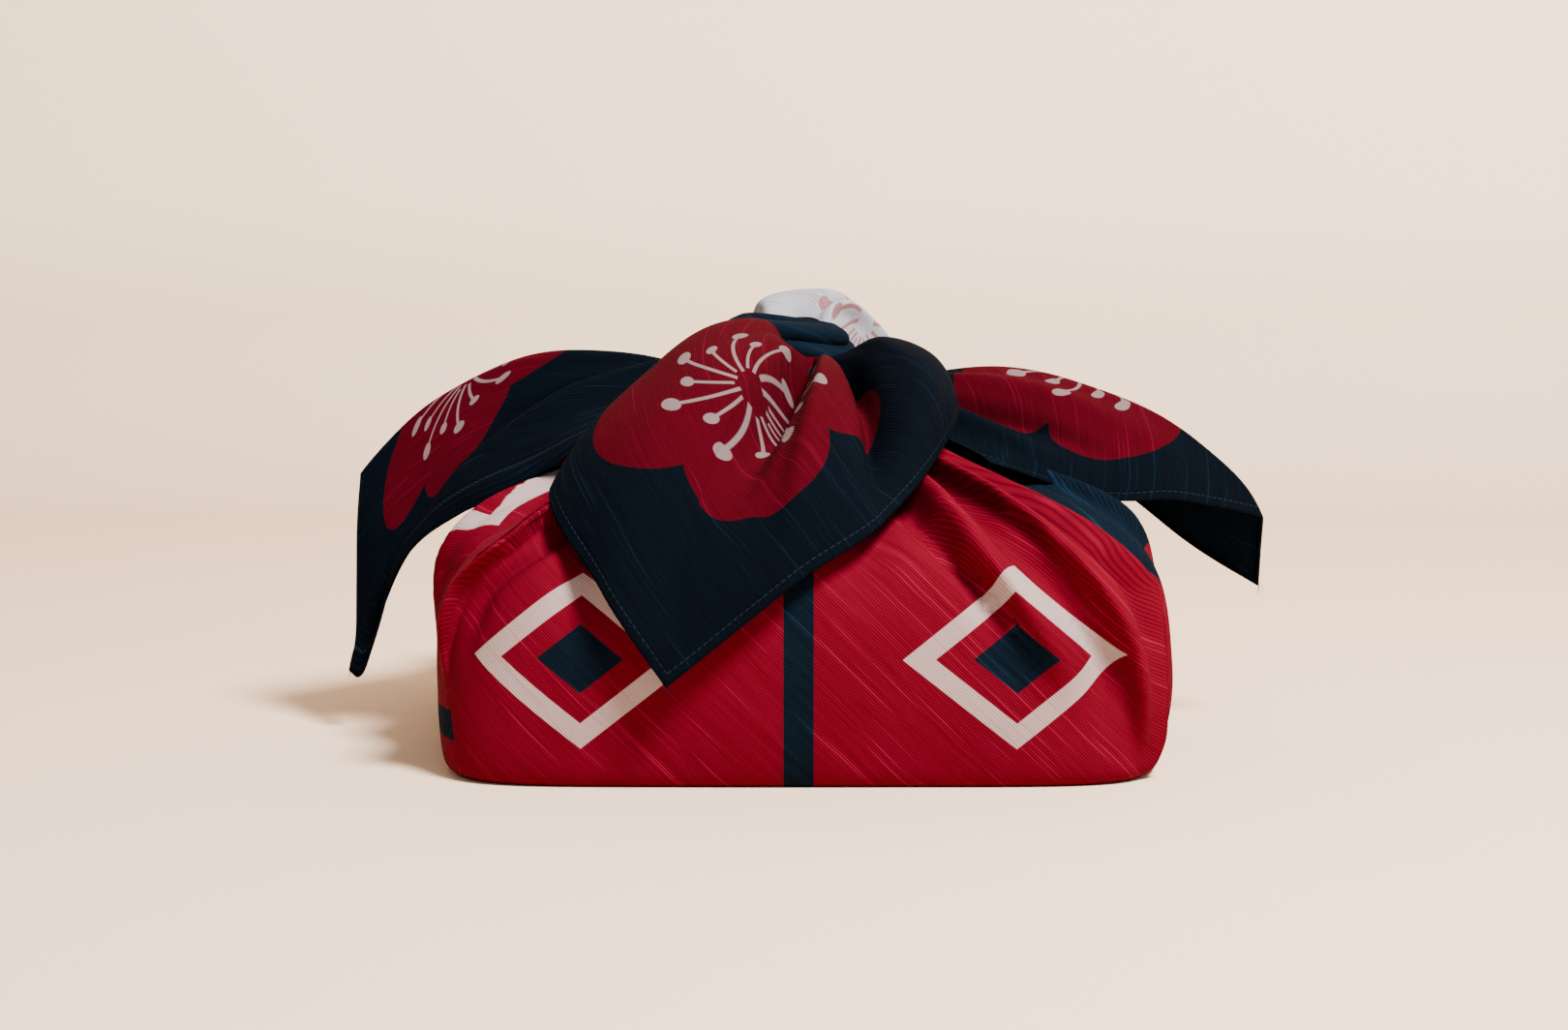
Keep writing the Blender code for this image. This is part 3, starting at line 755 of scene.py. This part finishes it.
def new_group(name, inputs, outputs):
    """Empty node group with its sockets, what it is given and what it has to feed."""
    tree = bpy.data.node_groups.new(name, "ShaderNodeTree")
    for label, kind, value in inputs:
        socket = tree.interface.new_socket(label, in_out="INPUT", socket_type=kind)
        if value is not None:
            socket.default_value = value
    for label, kind in outputs:
        tree.interface.new_socket(label, in_out="OUTPUT", socket_type=kind)
    start, end = tree.nodes.new("NodeGroupInput"), tree.nodes.new("NodeGroupOutput")
    return tree, start.outputs, end.inputs


def split(bench, vector):
    node = bench.node("ShaderNodeSeparateXYZ")
    bench.feed(node.inputs[0], vector)
    return tuple(node.outputs)


# Weave: noise that bends the ribs (scale, metres), then the scale of the noise along a thread, its
# step from thread to thread and its layer, for the thread's unevenness and for its slubs
WANDER_SCALE = 30.0
WANDER = 0.0022
THREAD_NOISE = (30.0, 3.1, 0.0)
SLUB_NOISE = (13.0, 1.7, 8.3)
WEFT_LAYER = 9.1

# How steeply a thread's noise above the slub share turns into a slub
SLUB_GAIN = 8.0

# Share of a slub's and a rib's strength that follows the rounded profile, and the parts of a
# thread's unevenness, its slubs and the weft in the height
SLUB_ROUND = 0.7
RIB_ROUND = 0.6
UNEVEN_HEIGHT = 0.6
SLUB_HEIGHT = 0.6
WEFT_HEIGHT = 0.3


def slub_weave_group():
    """Woven ribs along the cloth's 45 degree line, each with its own uneven thread.

    The distance across the ribs over their pitch has a whole part, which picks the thread,
    and a fraction, which gives its rounded profile 1 - (2 f - 1) squared.
    """
    tree, given, result = new_group(
        "slub_weave",
        (
            ("Flat cloth", "NodeSocketVector", None),
            ("Rib pitch", "NodeSocketFloat", 0.0007),
            ("Slub share", "NodeSocketFloat", 0.555),
        ),
        tuple((name, "NodeSocketFloat") for name in ("Slub", "Rib", "Profile", "Height")),
    )
    bench = NodeBench(tree)
    p, q, _ = split(bench, given["Flat cloth"])
    along = bench.times(bench.add(p, q), math.sqrt(0.5))
    cross = bench.times(bench.less(p, q), math.sqrt(0.5))
    wander = bench.noise(bench.vector(along, cross), WANDER_SCALE, 1.0)
    cross = bench.add(cross, bench.times(wander, WANDER))
    ribs = bench.sum("DIVIDE", cross, given["Rib pitch"])
    thread = bench.sum("FLOOR", ribs)
    part = bench.sum("MULTIPLY_ADD", bench.sum("FRACT", ribs), 2.0, -1.0)
    profile = bench.less(1.0, bench.times(part, part))

    def thread_noise(scale, step, layer):
        place = bench.vector(bench.times(along, scale), bench.times(thread, step), layer)
        return bench.noise(place, 1.0, 2.0)

    uneven = thread_noise(*THREAD_NOISE)
    slub = bench.less(thread_noise(*SLUB_NOISE), given["Slub share"])
    slub = bench.times(slub, SLUB_GAIN, clamp=True)
    slub = bench.times(slub, bench.sum("MULTIPLY_ADD", profile, SLUB_ROUND, 1.0 - SLUB_ROUND))
    rib = bench.times(bench.sum("MULTIPLY_ADD", profile, RIB_ROUND, 1.0 - RIB_ROUND), uneven)
    steps = bench.sum("DIVIDE", along, given["Rib pitch"])
    weft = bench.noise(bench.vector(steps, ribs, WEFT_LAYER), 1.0, 0.0)
    bench.feed(result["Slub"], slub)
    bench.feed(result["Rib"], rib)
    bench.feed(result["Profile"], profile)
    height = bench.add(profile, bench.times(uneven, UNEVEN_HEIGHT))
    height = bench.add(height, bench.times(slub, SLUB_HEIGHT))
    bench.feed(result["Height"], bench.add(height, bench.times(weft, WEFT_HEIGHT)))
    return tree


# Blossoms: distance from the corner's tip, of the red ones and the white one
BLOSSOM_DEPTH = 0.124
WHITE_BLOSSOM_DEPTH = 0.150

# Turn of a blossom in degrees, what is added to it in the corners of the front and back tails, and
# in the corner of the left tail
BLOSSOM_TURN = 20.0
FRONT_EXTRA_TURN = 4.0
LEFT_EXTRA_TURN = -26.0

# Distance of a petal's centre from the flower's, the petal's radius, and the share of that distance
# that the flower's middle fills
PETAL_REACH = 0.0375
PETAL_RADIUS = 0.0285
MIDDLE_SHARE = 0.7

# Two rings of stamens: number, turn, start, reach, thickness of the line, radius of the head
STAMENS = (
    (8, 0.0, 0.0065, 0.0345, 0.00080, 0.0034),
    (8, 22.5, 0.0080, 0.0265, 0.00070, 0.0027),
)
STAMEN_BEND = 11.0

# Diamonds of the red ground: pitch, place of one of them, shape and sizes; navy stripes between them
LATTICE = (0.150, 0.130)
LATTICE_PLACE = (0.074, -0.162)
DIAMOND_FLATNESS = 0.80
DIAMOND_RING = (0.0225, 0.0315)
DIAMOND_HEART = 0.0120
STRIPE = 0.0052

# Navy corners: distance of their scalloped edge from the tip, the same on the side that lies on the
# right of the bundle, the scallops' half width and depth, and the softness of every printed edge
NAVY_DEPTH = 0.212
NAVY_DEPTH_RIGHT = 0.302
SCALLOP = (0.026, 0.016)
INK_EDGE = 0.00022


def print_group():
    """Printed pattern in the flat cloth's own metres: diamonds, navy corners and plum blossoms.

    A blossom's angle is folded into one fifth for its petals and one eighth for each ring of
    stamens, so one circle and one line are drawn in every turn.
    """
    colours = (
        ("Red", (0.30, 0.004, 0.016, 1.0)),
        ("Navy", (0.006, 0.014, 0.026, 1.0)),
        ("Off-white", (0.58, 0.46, 0.47, 1.0)),
        ("White", (0.74, 0.74, 0.76, 1.0)),
        ("Pink", (0.52, 0.22, 0.24, 1.0)),
    )
    inputs = [("Flat cloth", "NodeSocketVector", None)]
    inputs += [(label, "NodeSocketColor", value) for label, value in colours]
    outputs = (
        ("Colour", "NodeSocketColor"),
        ("Light print", "NodeSocketFloat"),
        ("Navy print", "NodeSocketFloat"),
    )
    tree, given, result = new_group("cloth_print", inputs, outputs)
    bench = NodeBench(tree)
    p, q, _ = split(bench, given["Flat cloth"])
    p_size, q_size = bench.size(p), bench.size(q)
    on_p = bench.sum("GREATER_THAN", p_size, q_size)
    a = bench.less(CORNER_REACH, bench.most(p_size, q_size))
    on_q = bench.less(1.0, on_p)
    b = bench.add(bench.times(q, on_p), bench.times(p, on_q))

    x = bench.less(p, LATTICE_PLACE[0])
    y = bench.less(q, LATTICE_PLACE[1])
    cell_x = bench.size(bench.sum("WRAP", x, LATTICE[0] / 2, -LATTICE[0] / 2))
    cell_y = bench.size(bench.sum("WRAP", y, LATTICE[1] / 2, -LATTICE[1] / 2))
    diamond = bench.add(bench.times(cell_x, DIAMOND_FLATNESS), cell_y)
    outer = bench.inside(diamond, DIAMOND_RING[1], INK_EDGE)
    inner = bench.inside(diamond, DIAMOND_RING[0], INK_EDGE)
    heart = bench.inside(diamond, DIAMOND_HEART, INK_EDGE)
    stripe = bench.inside(bench.less(LATTICE[0] / 2, cell_x), STRIPE, INK_EDGE)
    ring = bench.less(outer, inner, clamp=True)
    ground = bench.mix(ring, given["Red"], given["Off-white"])
    ground = bench.mix(bench.most(heart, stripe), ground, given["Navy"])

    wave = bench.sum("DIVIDE", bench.sum("WRAP", b, SCALLOP[0], -SCALLOP[0]), SCALLOP[0])
    arch = bench.sum("SQRT", bench.less(1.0, bench.times(wave, wave), clamp=True))
    right_side = bench.times(on_p, bench.sum("GREATER_THAN", p, 0.0))
    deep = bench.add(NAVY_DEPTH, bench.times(right_side, NAVY_DEPTH_RIGHT - NAVY_DEPTH))
    limit = bench.less(deep, bench.times(arch, SCALLOP[1]))
    corner = bench.inside(a, limit, INK_EDGE)

    front_corner = bench.times(on_q, bench.sum("LESS_THAN", q, 0.0))
    extra = bench.times(front_corner, WHITE_BLOSSOM_DEPTH - BLOSSOM_DEPTH)
    up = bench.less(bench.less(a, BLOSSOM_DEPTH), extra)
    reach = bench.length(b, up)
    angle = bench.sum("ARCTAN2", b, bench.times(up, -1.0))
    turn = bench.sum("MULTIPLY_ADD", on_q, math.radians(FRONT_EXTRA_TURN), math.radians(BLOSSOM_TURN))
    turn = bench.sum("MULTIPLY_ADD", right_side, math.radians(LEFT_EXTRA_TURN), turn)
    angle = bench.less(angle, turn)
    fifth = bench.sum("WRAP", angle, math.pi / 5, -math.pi / 5)
    petal_x = bench.less(bench.times(reach, bench.sum("COSINE", fifth)), PETAL_REACH)
    petal_y = bench.times(reach, bench.sum("SINE", fifth))
    petal = bench.inside(bench.length(petal_x, petal_y), PETAL_RADIUS, INK_EDGE)
    petal = bench.most(petal, bench.inside(reach, PETAL_REACH * MIDDLE_SHARE, INK_EDGE))

    bend = bench.times(reach, STAMEN_BEND)
    stamens = 0.0
    for count, turn, start, end, thick, head in STAMENS:
        spun = bench.add(bench.add(angle, bend), math.radians(turn))
        part = bench.sum("WRAP", spun, math.pi / count, -math.pi / count)
        line_y = bench.size(bench.times(reach, bench.sum("SINE", part)))
        line = bench.inside(line_y, thick, INK_EDGE)
        line = bench.times(line, bench.inside(reach, end, INK_EDGE))
        line = bench.times(line, bench.sum("GREATER_THAN", reach, start))
        head_x = bench.less(bench.times(reach, bench.sum("COSINE", part)), end)
        dot = bench.inside(bench.length(head_x, line_y), head, INK_EDGE)
        stamens = bench.most(stamens, bench.most(line, dot))

    flower = bench.mix(front_corner, given["Red"], given["White"])
    thread = bench.mix(front_corner, given["Off-white"], given["Pink"])
    navy = bench.mix(petal, given["Navy"], flower)
    navy = bench.mix(stamens, navy, thread)
    bench.feed(result["Colour"], bench.mix(corner, ground, navy))
    light_petal = bench.times(petal, front_corner)
    light = bench.times(corner, bench.most(stamens, light_petal))
    outside = bench.less(1.0, corner)
    light = bench.most(light, bench.times(outside, ring))
    bench.feed(result["Light print"], light)
    bare = bench.times(corner, bench.less(1.0, bench.most(petal, stamens)))
    marks = bench.times(outside, bench.most(heart, stripe))
    bench.feed(result["Navy print"], bench.most(bare, marks))
    return tree


# Stitch line of the hem: its place across the hem, half the pitch of the stitches, half a stitch's
# width and length (metres), then the half width and depth of the dent it pulls in the hem
STITCH_PLACE = 0.80
STITCH_HALF_PITCH = 0.0013
STITCH_HALF_WIDTH = 0.00022
STITCH_HALF_LENGTH = 0.00085
DENT_HALF_WIDTH = 0.0005
DENT_DEPTH = 0.5

# Softness of the edges of the hem's band, of a stitch across and along, and of the dent (metres)
BAND_EDGE = 0.00025
STITCH_EDGE = 0.0001
DASH_EDGE = 0.0002
DENT_EDGE = 0.0004


def hem_group():
    """Hem of the cloth from its distance to the edge: a raised band and a dashed stitch line."""
    tree, given, result = new_group(
        "turned_hem",
        (("Flat cloth", "NodeSocketVector", None), ("Width", "NodeSocketFloat", HEM_DEPTH)),
        (("Stitch", "NodeSocketFloat"), ("Height", "NodeSocketFloat")),
    )
    bench = NodeBench(tree)
    p, q, _ = split(bench, given["Flat cloth"])
    sizes = bench.add(bench.size(p), bench.size(q))
    depth = bench.times(bench.less(CORNER_REACH, sizes), math.sqrt(0.5))
    differ = bench.less(bench.size(p), bench.size(q))
    walk = bench.times(differ, math.sqrt(0.5))
    width = given["Width"]
    band = bench.inside(depth, width, BAND_EDGE)
    line = bench.size(bench.less(depth, bench.times(width, STITCH_PLACE)))
    dash = bench.size(bench.sum("WRAP", walk, STITCH_HALF_PITCH, -STITCH_HALF_PITCH))
    stitch = bench.inside(line, STITCH_HALF_WIDTH, STITCH_EDGE)
    stitch = bench.times(stitch, bench.inside(dash, STITCH_HALF_LENGTH, DASH_EDGE))
    bench.feed(result["Stitch"], stitch)
    dent = bench.times(bench.inside(line, DENT_HALF_WIDTH, DENT_EDGE), DENT_DEPTH)
    bench.feed(result["Height"], bench.less(band, dent))
    return tree


def shader_of(name):
    material = bpy.data.materials.new(name)
    material.use_nodes = True
    return material, material.node_tree.nodes["Principled BSDF"]


# Shares of thread colour in slubs and ribs and of stitch colour in the stitches
SLUB_TINT = 0.55
RIB_TINT = 0.38
STITCH_TINT = 0.35

# Brightness of the cloth: scale and depth of its cloudiness, what all of it has, and the painted highlight
# that the tops of the ribs have more; then the painted shade that darkens the reverse
CLOUD_SCALE = 34.0
CLOUD_DEPTH = 0.16
GROUND_LIGHT = 0.69
RIB_TOP_PAINTED_HIGHLIGHT = 0.27
REVERSE_PAINTED_SHADE = (0.42, 0.40, 0.42, 1.0)

# Roughness between ribs and what a rib adds, strength and height (metres) of the relief, and the
# height of the hem in it
ROUGHNESS = 0.84
RIB_ROUGHNESS = 0.10
BUMP_STRENGTH = 0.75
BUMP_DISTANCE = 0.00012
HEM_RELIEF = 1.6


def cotton_material(finish):
    """Printed slub cotton: print tinted along its threads, hem and stitches, a painted highlight on the rib
    tops, and the reverse darkened with painted shade.
    """
    material, shader = shader_of("printed_cotton")
    bench = NodeBench(material.node_tree)
    flat = bench.node("ShaderNodeUVMap", uv_map="flat_cloth").outputs["UV"]

    def use(tree, **values):
        node = bench.node("ShaderNodeGroup", node_tree=tree)
        bench.feed(node.inputs["Flat cloth"], flat)
        for label, value in values.items():
            bench.feed(node.inputs[label], value)
        return node.outputs

    printed = use(
        print_group(),
        **{
            "Red": (*finish.red, 1.0),
            "Navy": (*finish.navy, 1.0),
            "Off-white": (*finish.off_white, 1.0),
            "White": (*finish.white, 1.0),
            "Pink": (*finish.pink, 1.0),
        },
    )
    weave = use(slub_weave_group(), **{"Rib pitch": finish.rib_pitch})
    hem = use(hem_group(), Width=HEM_DEPTH)

    thread = bench.mix(printed["Navy print"], (*finish.red_thread, 1.0), (*finish.navy_thread, 1.0))
    thread = bench.mix(printed["Light print"], thread, (*finish.light_thread, 1.0))
    faint = bench.times(weave["Rib"], RIB_TINT, clamp=True)
    share = bench.most(bench.times(weave["Slub"], SLUB_TINT), faint)
    colour = bench.mix(share, printed["Colour"], thread)
    cloudy = bench.noise(flat, CLOUD_SCALE, 3.0)
    cloudiness_and_rib_highlight = bench.sum("MULTIPLY_ADD", cloudy, CLOUD_DEPTH, GROUND_LIGHT)
    # painted highlight: the rounded tops of the ribs are made lighter, on top of the random cloudiness
    cloudiness_and_rib_highlight = bench.add(cloudiness_and_rib_highlight, bench.times(weave["Profile"], RIB_TOP_PAINTED_HIGHLIGHT))
    colour = bench.mix(1.0, colour, bench.vector(cloudiness_and_rib_highlight, cloudiness_and_rib_highlight, cloudiness_and_rib_highlight), "MULTIPLY")
    sewn = bench.times(hem["Stitch"], STITCH_TINT)
    colour = bench.mix(sewn, colour, (*finish.stitch, 1.0))
    # painted shade: the reverse of the cloth is multiplied darker, as if it lay in shadow
    back = bench.node("ShaderNodeNewGeometry").outputs["Backfacing"]
    colour = bench.mix(back, colour, REVERSE_PAINTED_SHADE, "MULTIPLY")
    bench.feed(shader.inputs["Base Color"], colour)

    rough = bench.sum("MULTIPLY_ADD", weave["Rib"], RIB_ROUGHNESS, ROUGHNESS)
    bench.feed(shader.inputs["Roughness"], rough)
    bump = bench.node("ShaderNodeBump")
    bump.inputs["Strength"].default_value = BUMP_STRENGTH
    bump.inputs["Distance"].default_value = BUMP_DISTANCE
    height = bench.add(weave["Height"], bench.times(hem["Height"], HEM_RELIEF))
    bench.feed(bump.inputs["Height"], height)
    bench.feed(shader.inputs["Normal"], bump.outputs["Normal"])
    shader.inputs["Specular IOR Level"].default_value = 0.02
    return material


def number_property(name, description, default, unit, **more):
    return bpy.props.FloatProperty(
        name=name, description=description, default=default, unit=unit, **more
    )


class WrapShape(bpy.types.PropertyGroup):
    half_width: number_property("Half width", "Half the bundle's width", 0.130, "LENGTH")
    half_depth: number_property("Half depth", "Half the bundle's depth", 0.115, "LENGTH")
    slack: number_property("Slack", "Height of the cloth's soft unevenness", 0.0007, "LENGTH", precision=4)


def colour_property(name, description, default):
    return bpy.props.FloatVectorProperty(
        name=name, description=description, default=default, size=3, min=0.0, max=1.0, subtype="COLOR"
    )


class ClothFinish(bpy.types.PropertyGroup):
    red: colour_property("Red", "Ground of the print", (0.066, 0.0004, 0.0034))
    navy: colour_property("Navy", "Corners of the print", (0.0010, 0.0018, 0.0036))
    off_white: colour_property("Off-white", "Diamonds and stamens", (0.31, 0.235, 0.24))
    white: colour_property("White", "Blossom of the back corner", (0.68, 0.76, 0.84))
    pink: colour_property("Pink", "Stamens of the white blossom", (0.50, 0.23, 0.25))
    red_thread: colour_property("Red thread", "Raised threads in the red", (0.23, 0.0055, 0.032))
    navy_thread: colour_property("Navy thread", "Raised threads in the navy", (0.005, 0.020, 0.042))
    light_thread: colour_property("Light thread", "Raised threads in the off-white", (0.26, 0.16, 0.15))
    stitch: colour_property("Stitch", "Thread of the hem", (0.030, 0.060, 0.085))
    rib_pitch: number_property("Rib pitch", "Distance between woven ribs", 0.00092, "LENGTH", precision=5)


class StageSettings(bpy.types.PropertyGroup):
    floor: colour_property("Floor", "Pale floor", (0.70, 0.52, 0.39))
    wall: colour_property("Wall", "Pale wall behind", (0.96, 0.80, 0.60))
    key_power: number_property("Key light", "Power of the soft key light", 114.0, "POWER")
    fill_power: number_property("Fill light", "Power of the soft fill light", 6.0, "POWER")
    lens: number_property("Lens", "Focal length of the camera", 80.0, "CAMERA")


class FUROSHIKI_OT_cloth(bpy.types.Operator):
    """Make the tied square of printed cotton."""

    bl_idname = "furoshiki.cloth"
    bl_label = "Tied cloth"

    def execute(self, context):
        shape, finish = context.scene.wrap_shape, context.scene.cloth_finish
        cloth = ClothMesh()
        add_bundle(cloth, shape)
        add_tails(cloth, shape)
        add_knot(cloth)
        add_threads(cloth)
        obj = cloth.make("tied_cloth")
        obj.data.materials.append(cotton_material(finish))
        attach(obj, ROOT)
        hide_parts(CLOTH_NODE)
        return {"FINISHED"}


# Stage: the floor turns up into the wall behind, and its colour changes to the wall's by this much
# for each metre of height
WALL_DISTANCE = 0.66
WALL_CURVE = 0.10
STAGE_REACH = 2.6
CURVE_STEPS = 17
WALL_BLEND = 6.0
CAMERA_PLACE = (-0.006, -1.2882, 0.2604)
CAMERA_TILT = 82.0
SENSOR_WIDTH = 36.0

# Lights: place, target, size (metres) and colour, then the colour and strength of the room's light
KEY_LIGHT = ((0.56, -0.74, 1.40), (0.0, 0.0, 0.06), 0.46, (1.0, 0.945, 0.88))
FILL_LIGHT = ((0.5, -1.8, 0.8), (0.0, 0.0, 0.06), 1.2, (0.97, 0.98, 1.0))
ROOM_COLOUR = (1.0, 0.95, 0.89, 1.0)
ROOM_STRENGTH = 0.38


def add_floor(stage):
    """Backdrop: a profile of floor, quarter circle and wall carried sideways, clear from behind."""
    arc = np.linspace(0.0, np.pi / 2.0, CURVE_STEPS)
    turned = WALL_DISTANCE - WALL_CURVE + WALL_CURVE * np.sin(arc)
    y = np.concatenate(((-STAGE_REACH,), turned, (WALL_DISTANCE,)))
    z = np.concatenate(((0.0,), WALL_CURVE - WALL_CURVE * np.cos(arc), (STAGE_REACH,)))
    x = np.array((-STAGE_REACH, STAGE_REACH))
    rows = len(y)
    points = [(side, float(b), float(c)) for side in x for b, c in zip(y, z)]
    faces = [(k, rows + k, rows + k + 1, k + 1) for k in range(rows - 1)]
    mesh = bpy.data.meshes.new("backdrop")
    mesh.from_pydata(points, [], faces)
    mesh.shade_smooth()
    obj = bpy.data.objects.new("backdrop", mesh)
    bpy.context.scene.collection.objects.link(obj)
    material, shader = shader_of("pale_stage")
    bench = NodeBench(material.node_tree)
    place = bench.node("ShaderNodeTexCoord").outputs["Object"]
    _, _, height = split(bench, place)
    up = bench.times(height, WALL_BLEND, clamp=True)
    bench.feed(shader.inputs["Base Color"], bench.mix(up, (*stage.floor, 1.0), (*stage.wall, 1.0)))
    shader.inputs["Roughness"].default_value = 0.9
    shader.inputs["Specular IOR Level"].default_value = 0.1
    clear = bench.node("ShaderNodeBsdfTransparent").outputs[0]
    behind = bench.node("ShaderNodeMixShader")
    bench.feed(behind.inputs[0], bench.node("ShaderNodeNewGeometry").outputs["Backfacing"])
    bench.feed(behind.inputs[1], shader.outputs[0])
    bench.feed(behind.inputs[2], clear)
    bench.feed(material.node_tree.nodes["Material Output"].inputs["Surface"], behind.outputs[0])
    obj.data.materials.append(material)


def add_light(name, power, place, target, size, colour):
    """Round area light at a place, aimed at a target."""
    data = bpy.data.lights.new(name, "AREA")
    data.shape = "DISK"
    data.size = size
    data.energy = power
    data.color = colour
    obj = bpy.data.objects.new(name, data)
    obj.location = place
    obj.rotation_euler = (Vector(target) - Vector(place)).to_track_quat("-Z", "Y").to_euler()
    bpy.context.scene.collection.objects.link(obj)


class FUROSHIKI_OT_stage(bpy.types.Operator):
    """Make the pale floor and wall, the soft lights and the camera."""

    bl_idname = "furoshiki.stage"
    bl_label = "Stage"

    def execute(self, context):
        stage = context.scene.stage_settings
        add_floor(stage)
        add_light("key_light", stage.key_power, *KEY_LIGHT)
        add_light("fill_light", stage.fill_power, *FILL_LIGHT)
        world = bpy.data.worlds.new("soft_room")
        world.use_nodes = True
        back = world.node_tree.nodes["Background"]
        back.inputs["Color"].default_value = ROOM_COLOUR
        back.inputs["Strength"].default_value = ROOM_STRENGTH
        context.scene.world = world
        camera_data = bpy.data.cameras.new("photo_camera")
        camera_data.lens = stage.lens
        camera_data.sensor_width = SENSOR_WIDTH
        camera = bpy.data.objects.new("photo_camera", camera_data)
        camera.location = CAMERA_PLACE
        camera.rotation_euler = (math.radians(CAMERA_TILT), 0.0, 0.0)
        context.scene.collection.objects.link(camera)
        context.scene.camera = camera
        return {"FINISHED"}


class FUROSHIKI_PT_sidebar(bpy.types.Panel):
    bl_idname = "FUROSHIKI_PT_sidebar"
    bl_label = "Furoshiki wrap"
    bl_space_type = "VIEW_3D"
    bl_region_type = "UI"
    bl_category = "Furoshiki"

    def draw(self, context):
        for group in (context.scene.wrap_shape, context.scene.cloth_finish, context.scene.stage_settings):
            box = self.layout.box()
            for name in group.__annotations__:
                box.prop(group, name)
        for operator in OPERATORS:
            self.layout.operator(operator.bl_idname)


OPERATORS = (FUROSHIKI_OT_cloth, FUROSHIKI_OT_stage)
GROUPS = (("wrap_shape", WrapShape), ("cloth_finish", ClothFinish), ("stage_settings", StageSettings))


def register():
    for name, group in GROUPS:
        bpy.utils.register_class(group)
        setattr(bpy.types.Scene, name, bpy.props.PointerProperty(type=group))
    for kind in (*OPERATORS, FUROSHIKI_PT_sidebar):
        bpy.utils.register_class(kind)


def unregister():
    for kind in (FUROSHIKI_PT_sidebar, *reversed(OPERATORS)):
        bpy.utils.unregister_class(kind)
    for name, group in reversed(GROUPS):
        delattr(bpy.types.Scene, name)
        bpy.utils.unregister_class(group)


def main():
    register()
    bpy.ops.furoshiki.stage()
    bpy.ops.furoshiki.cloth()


if __name__ == "__main__":
    main()
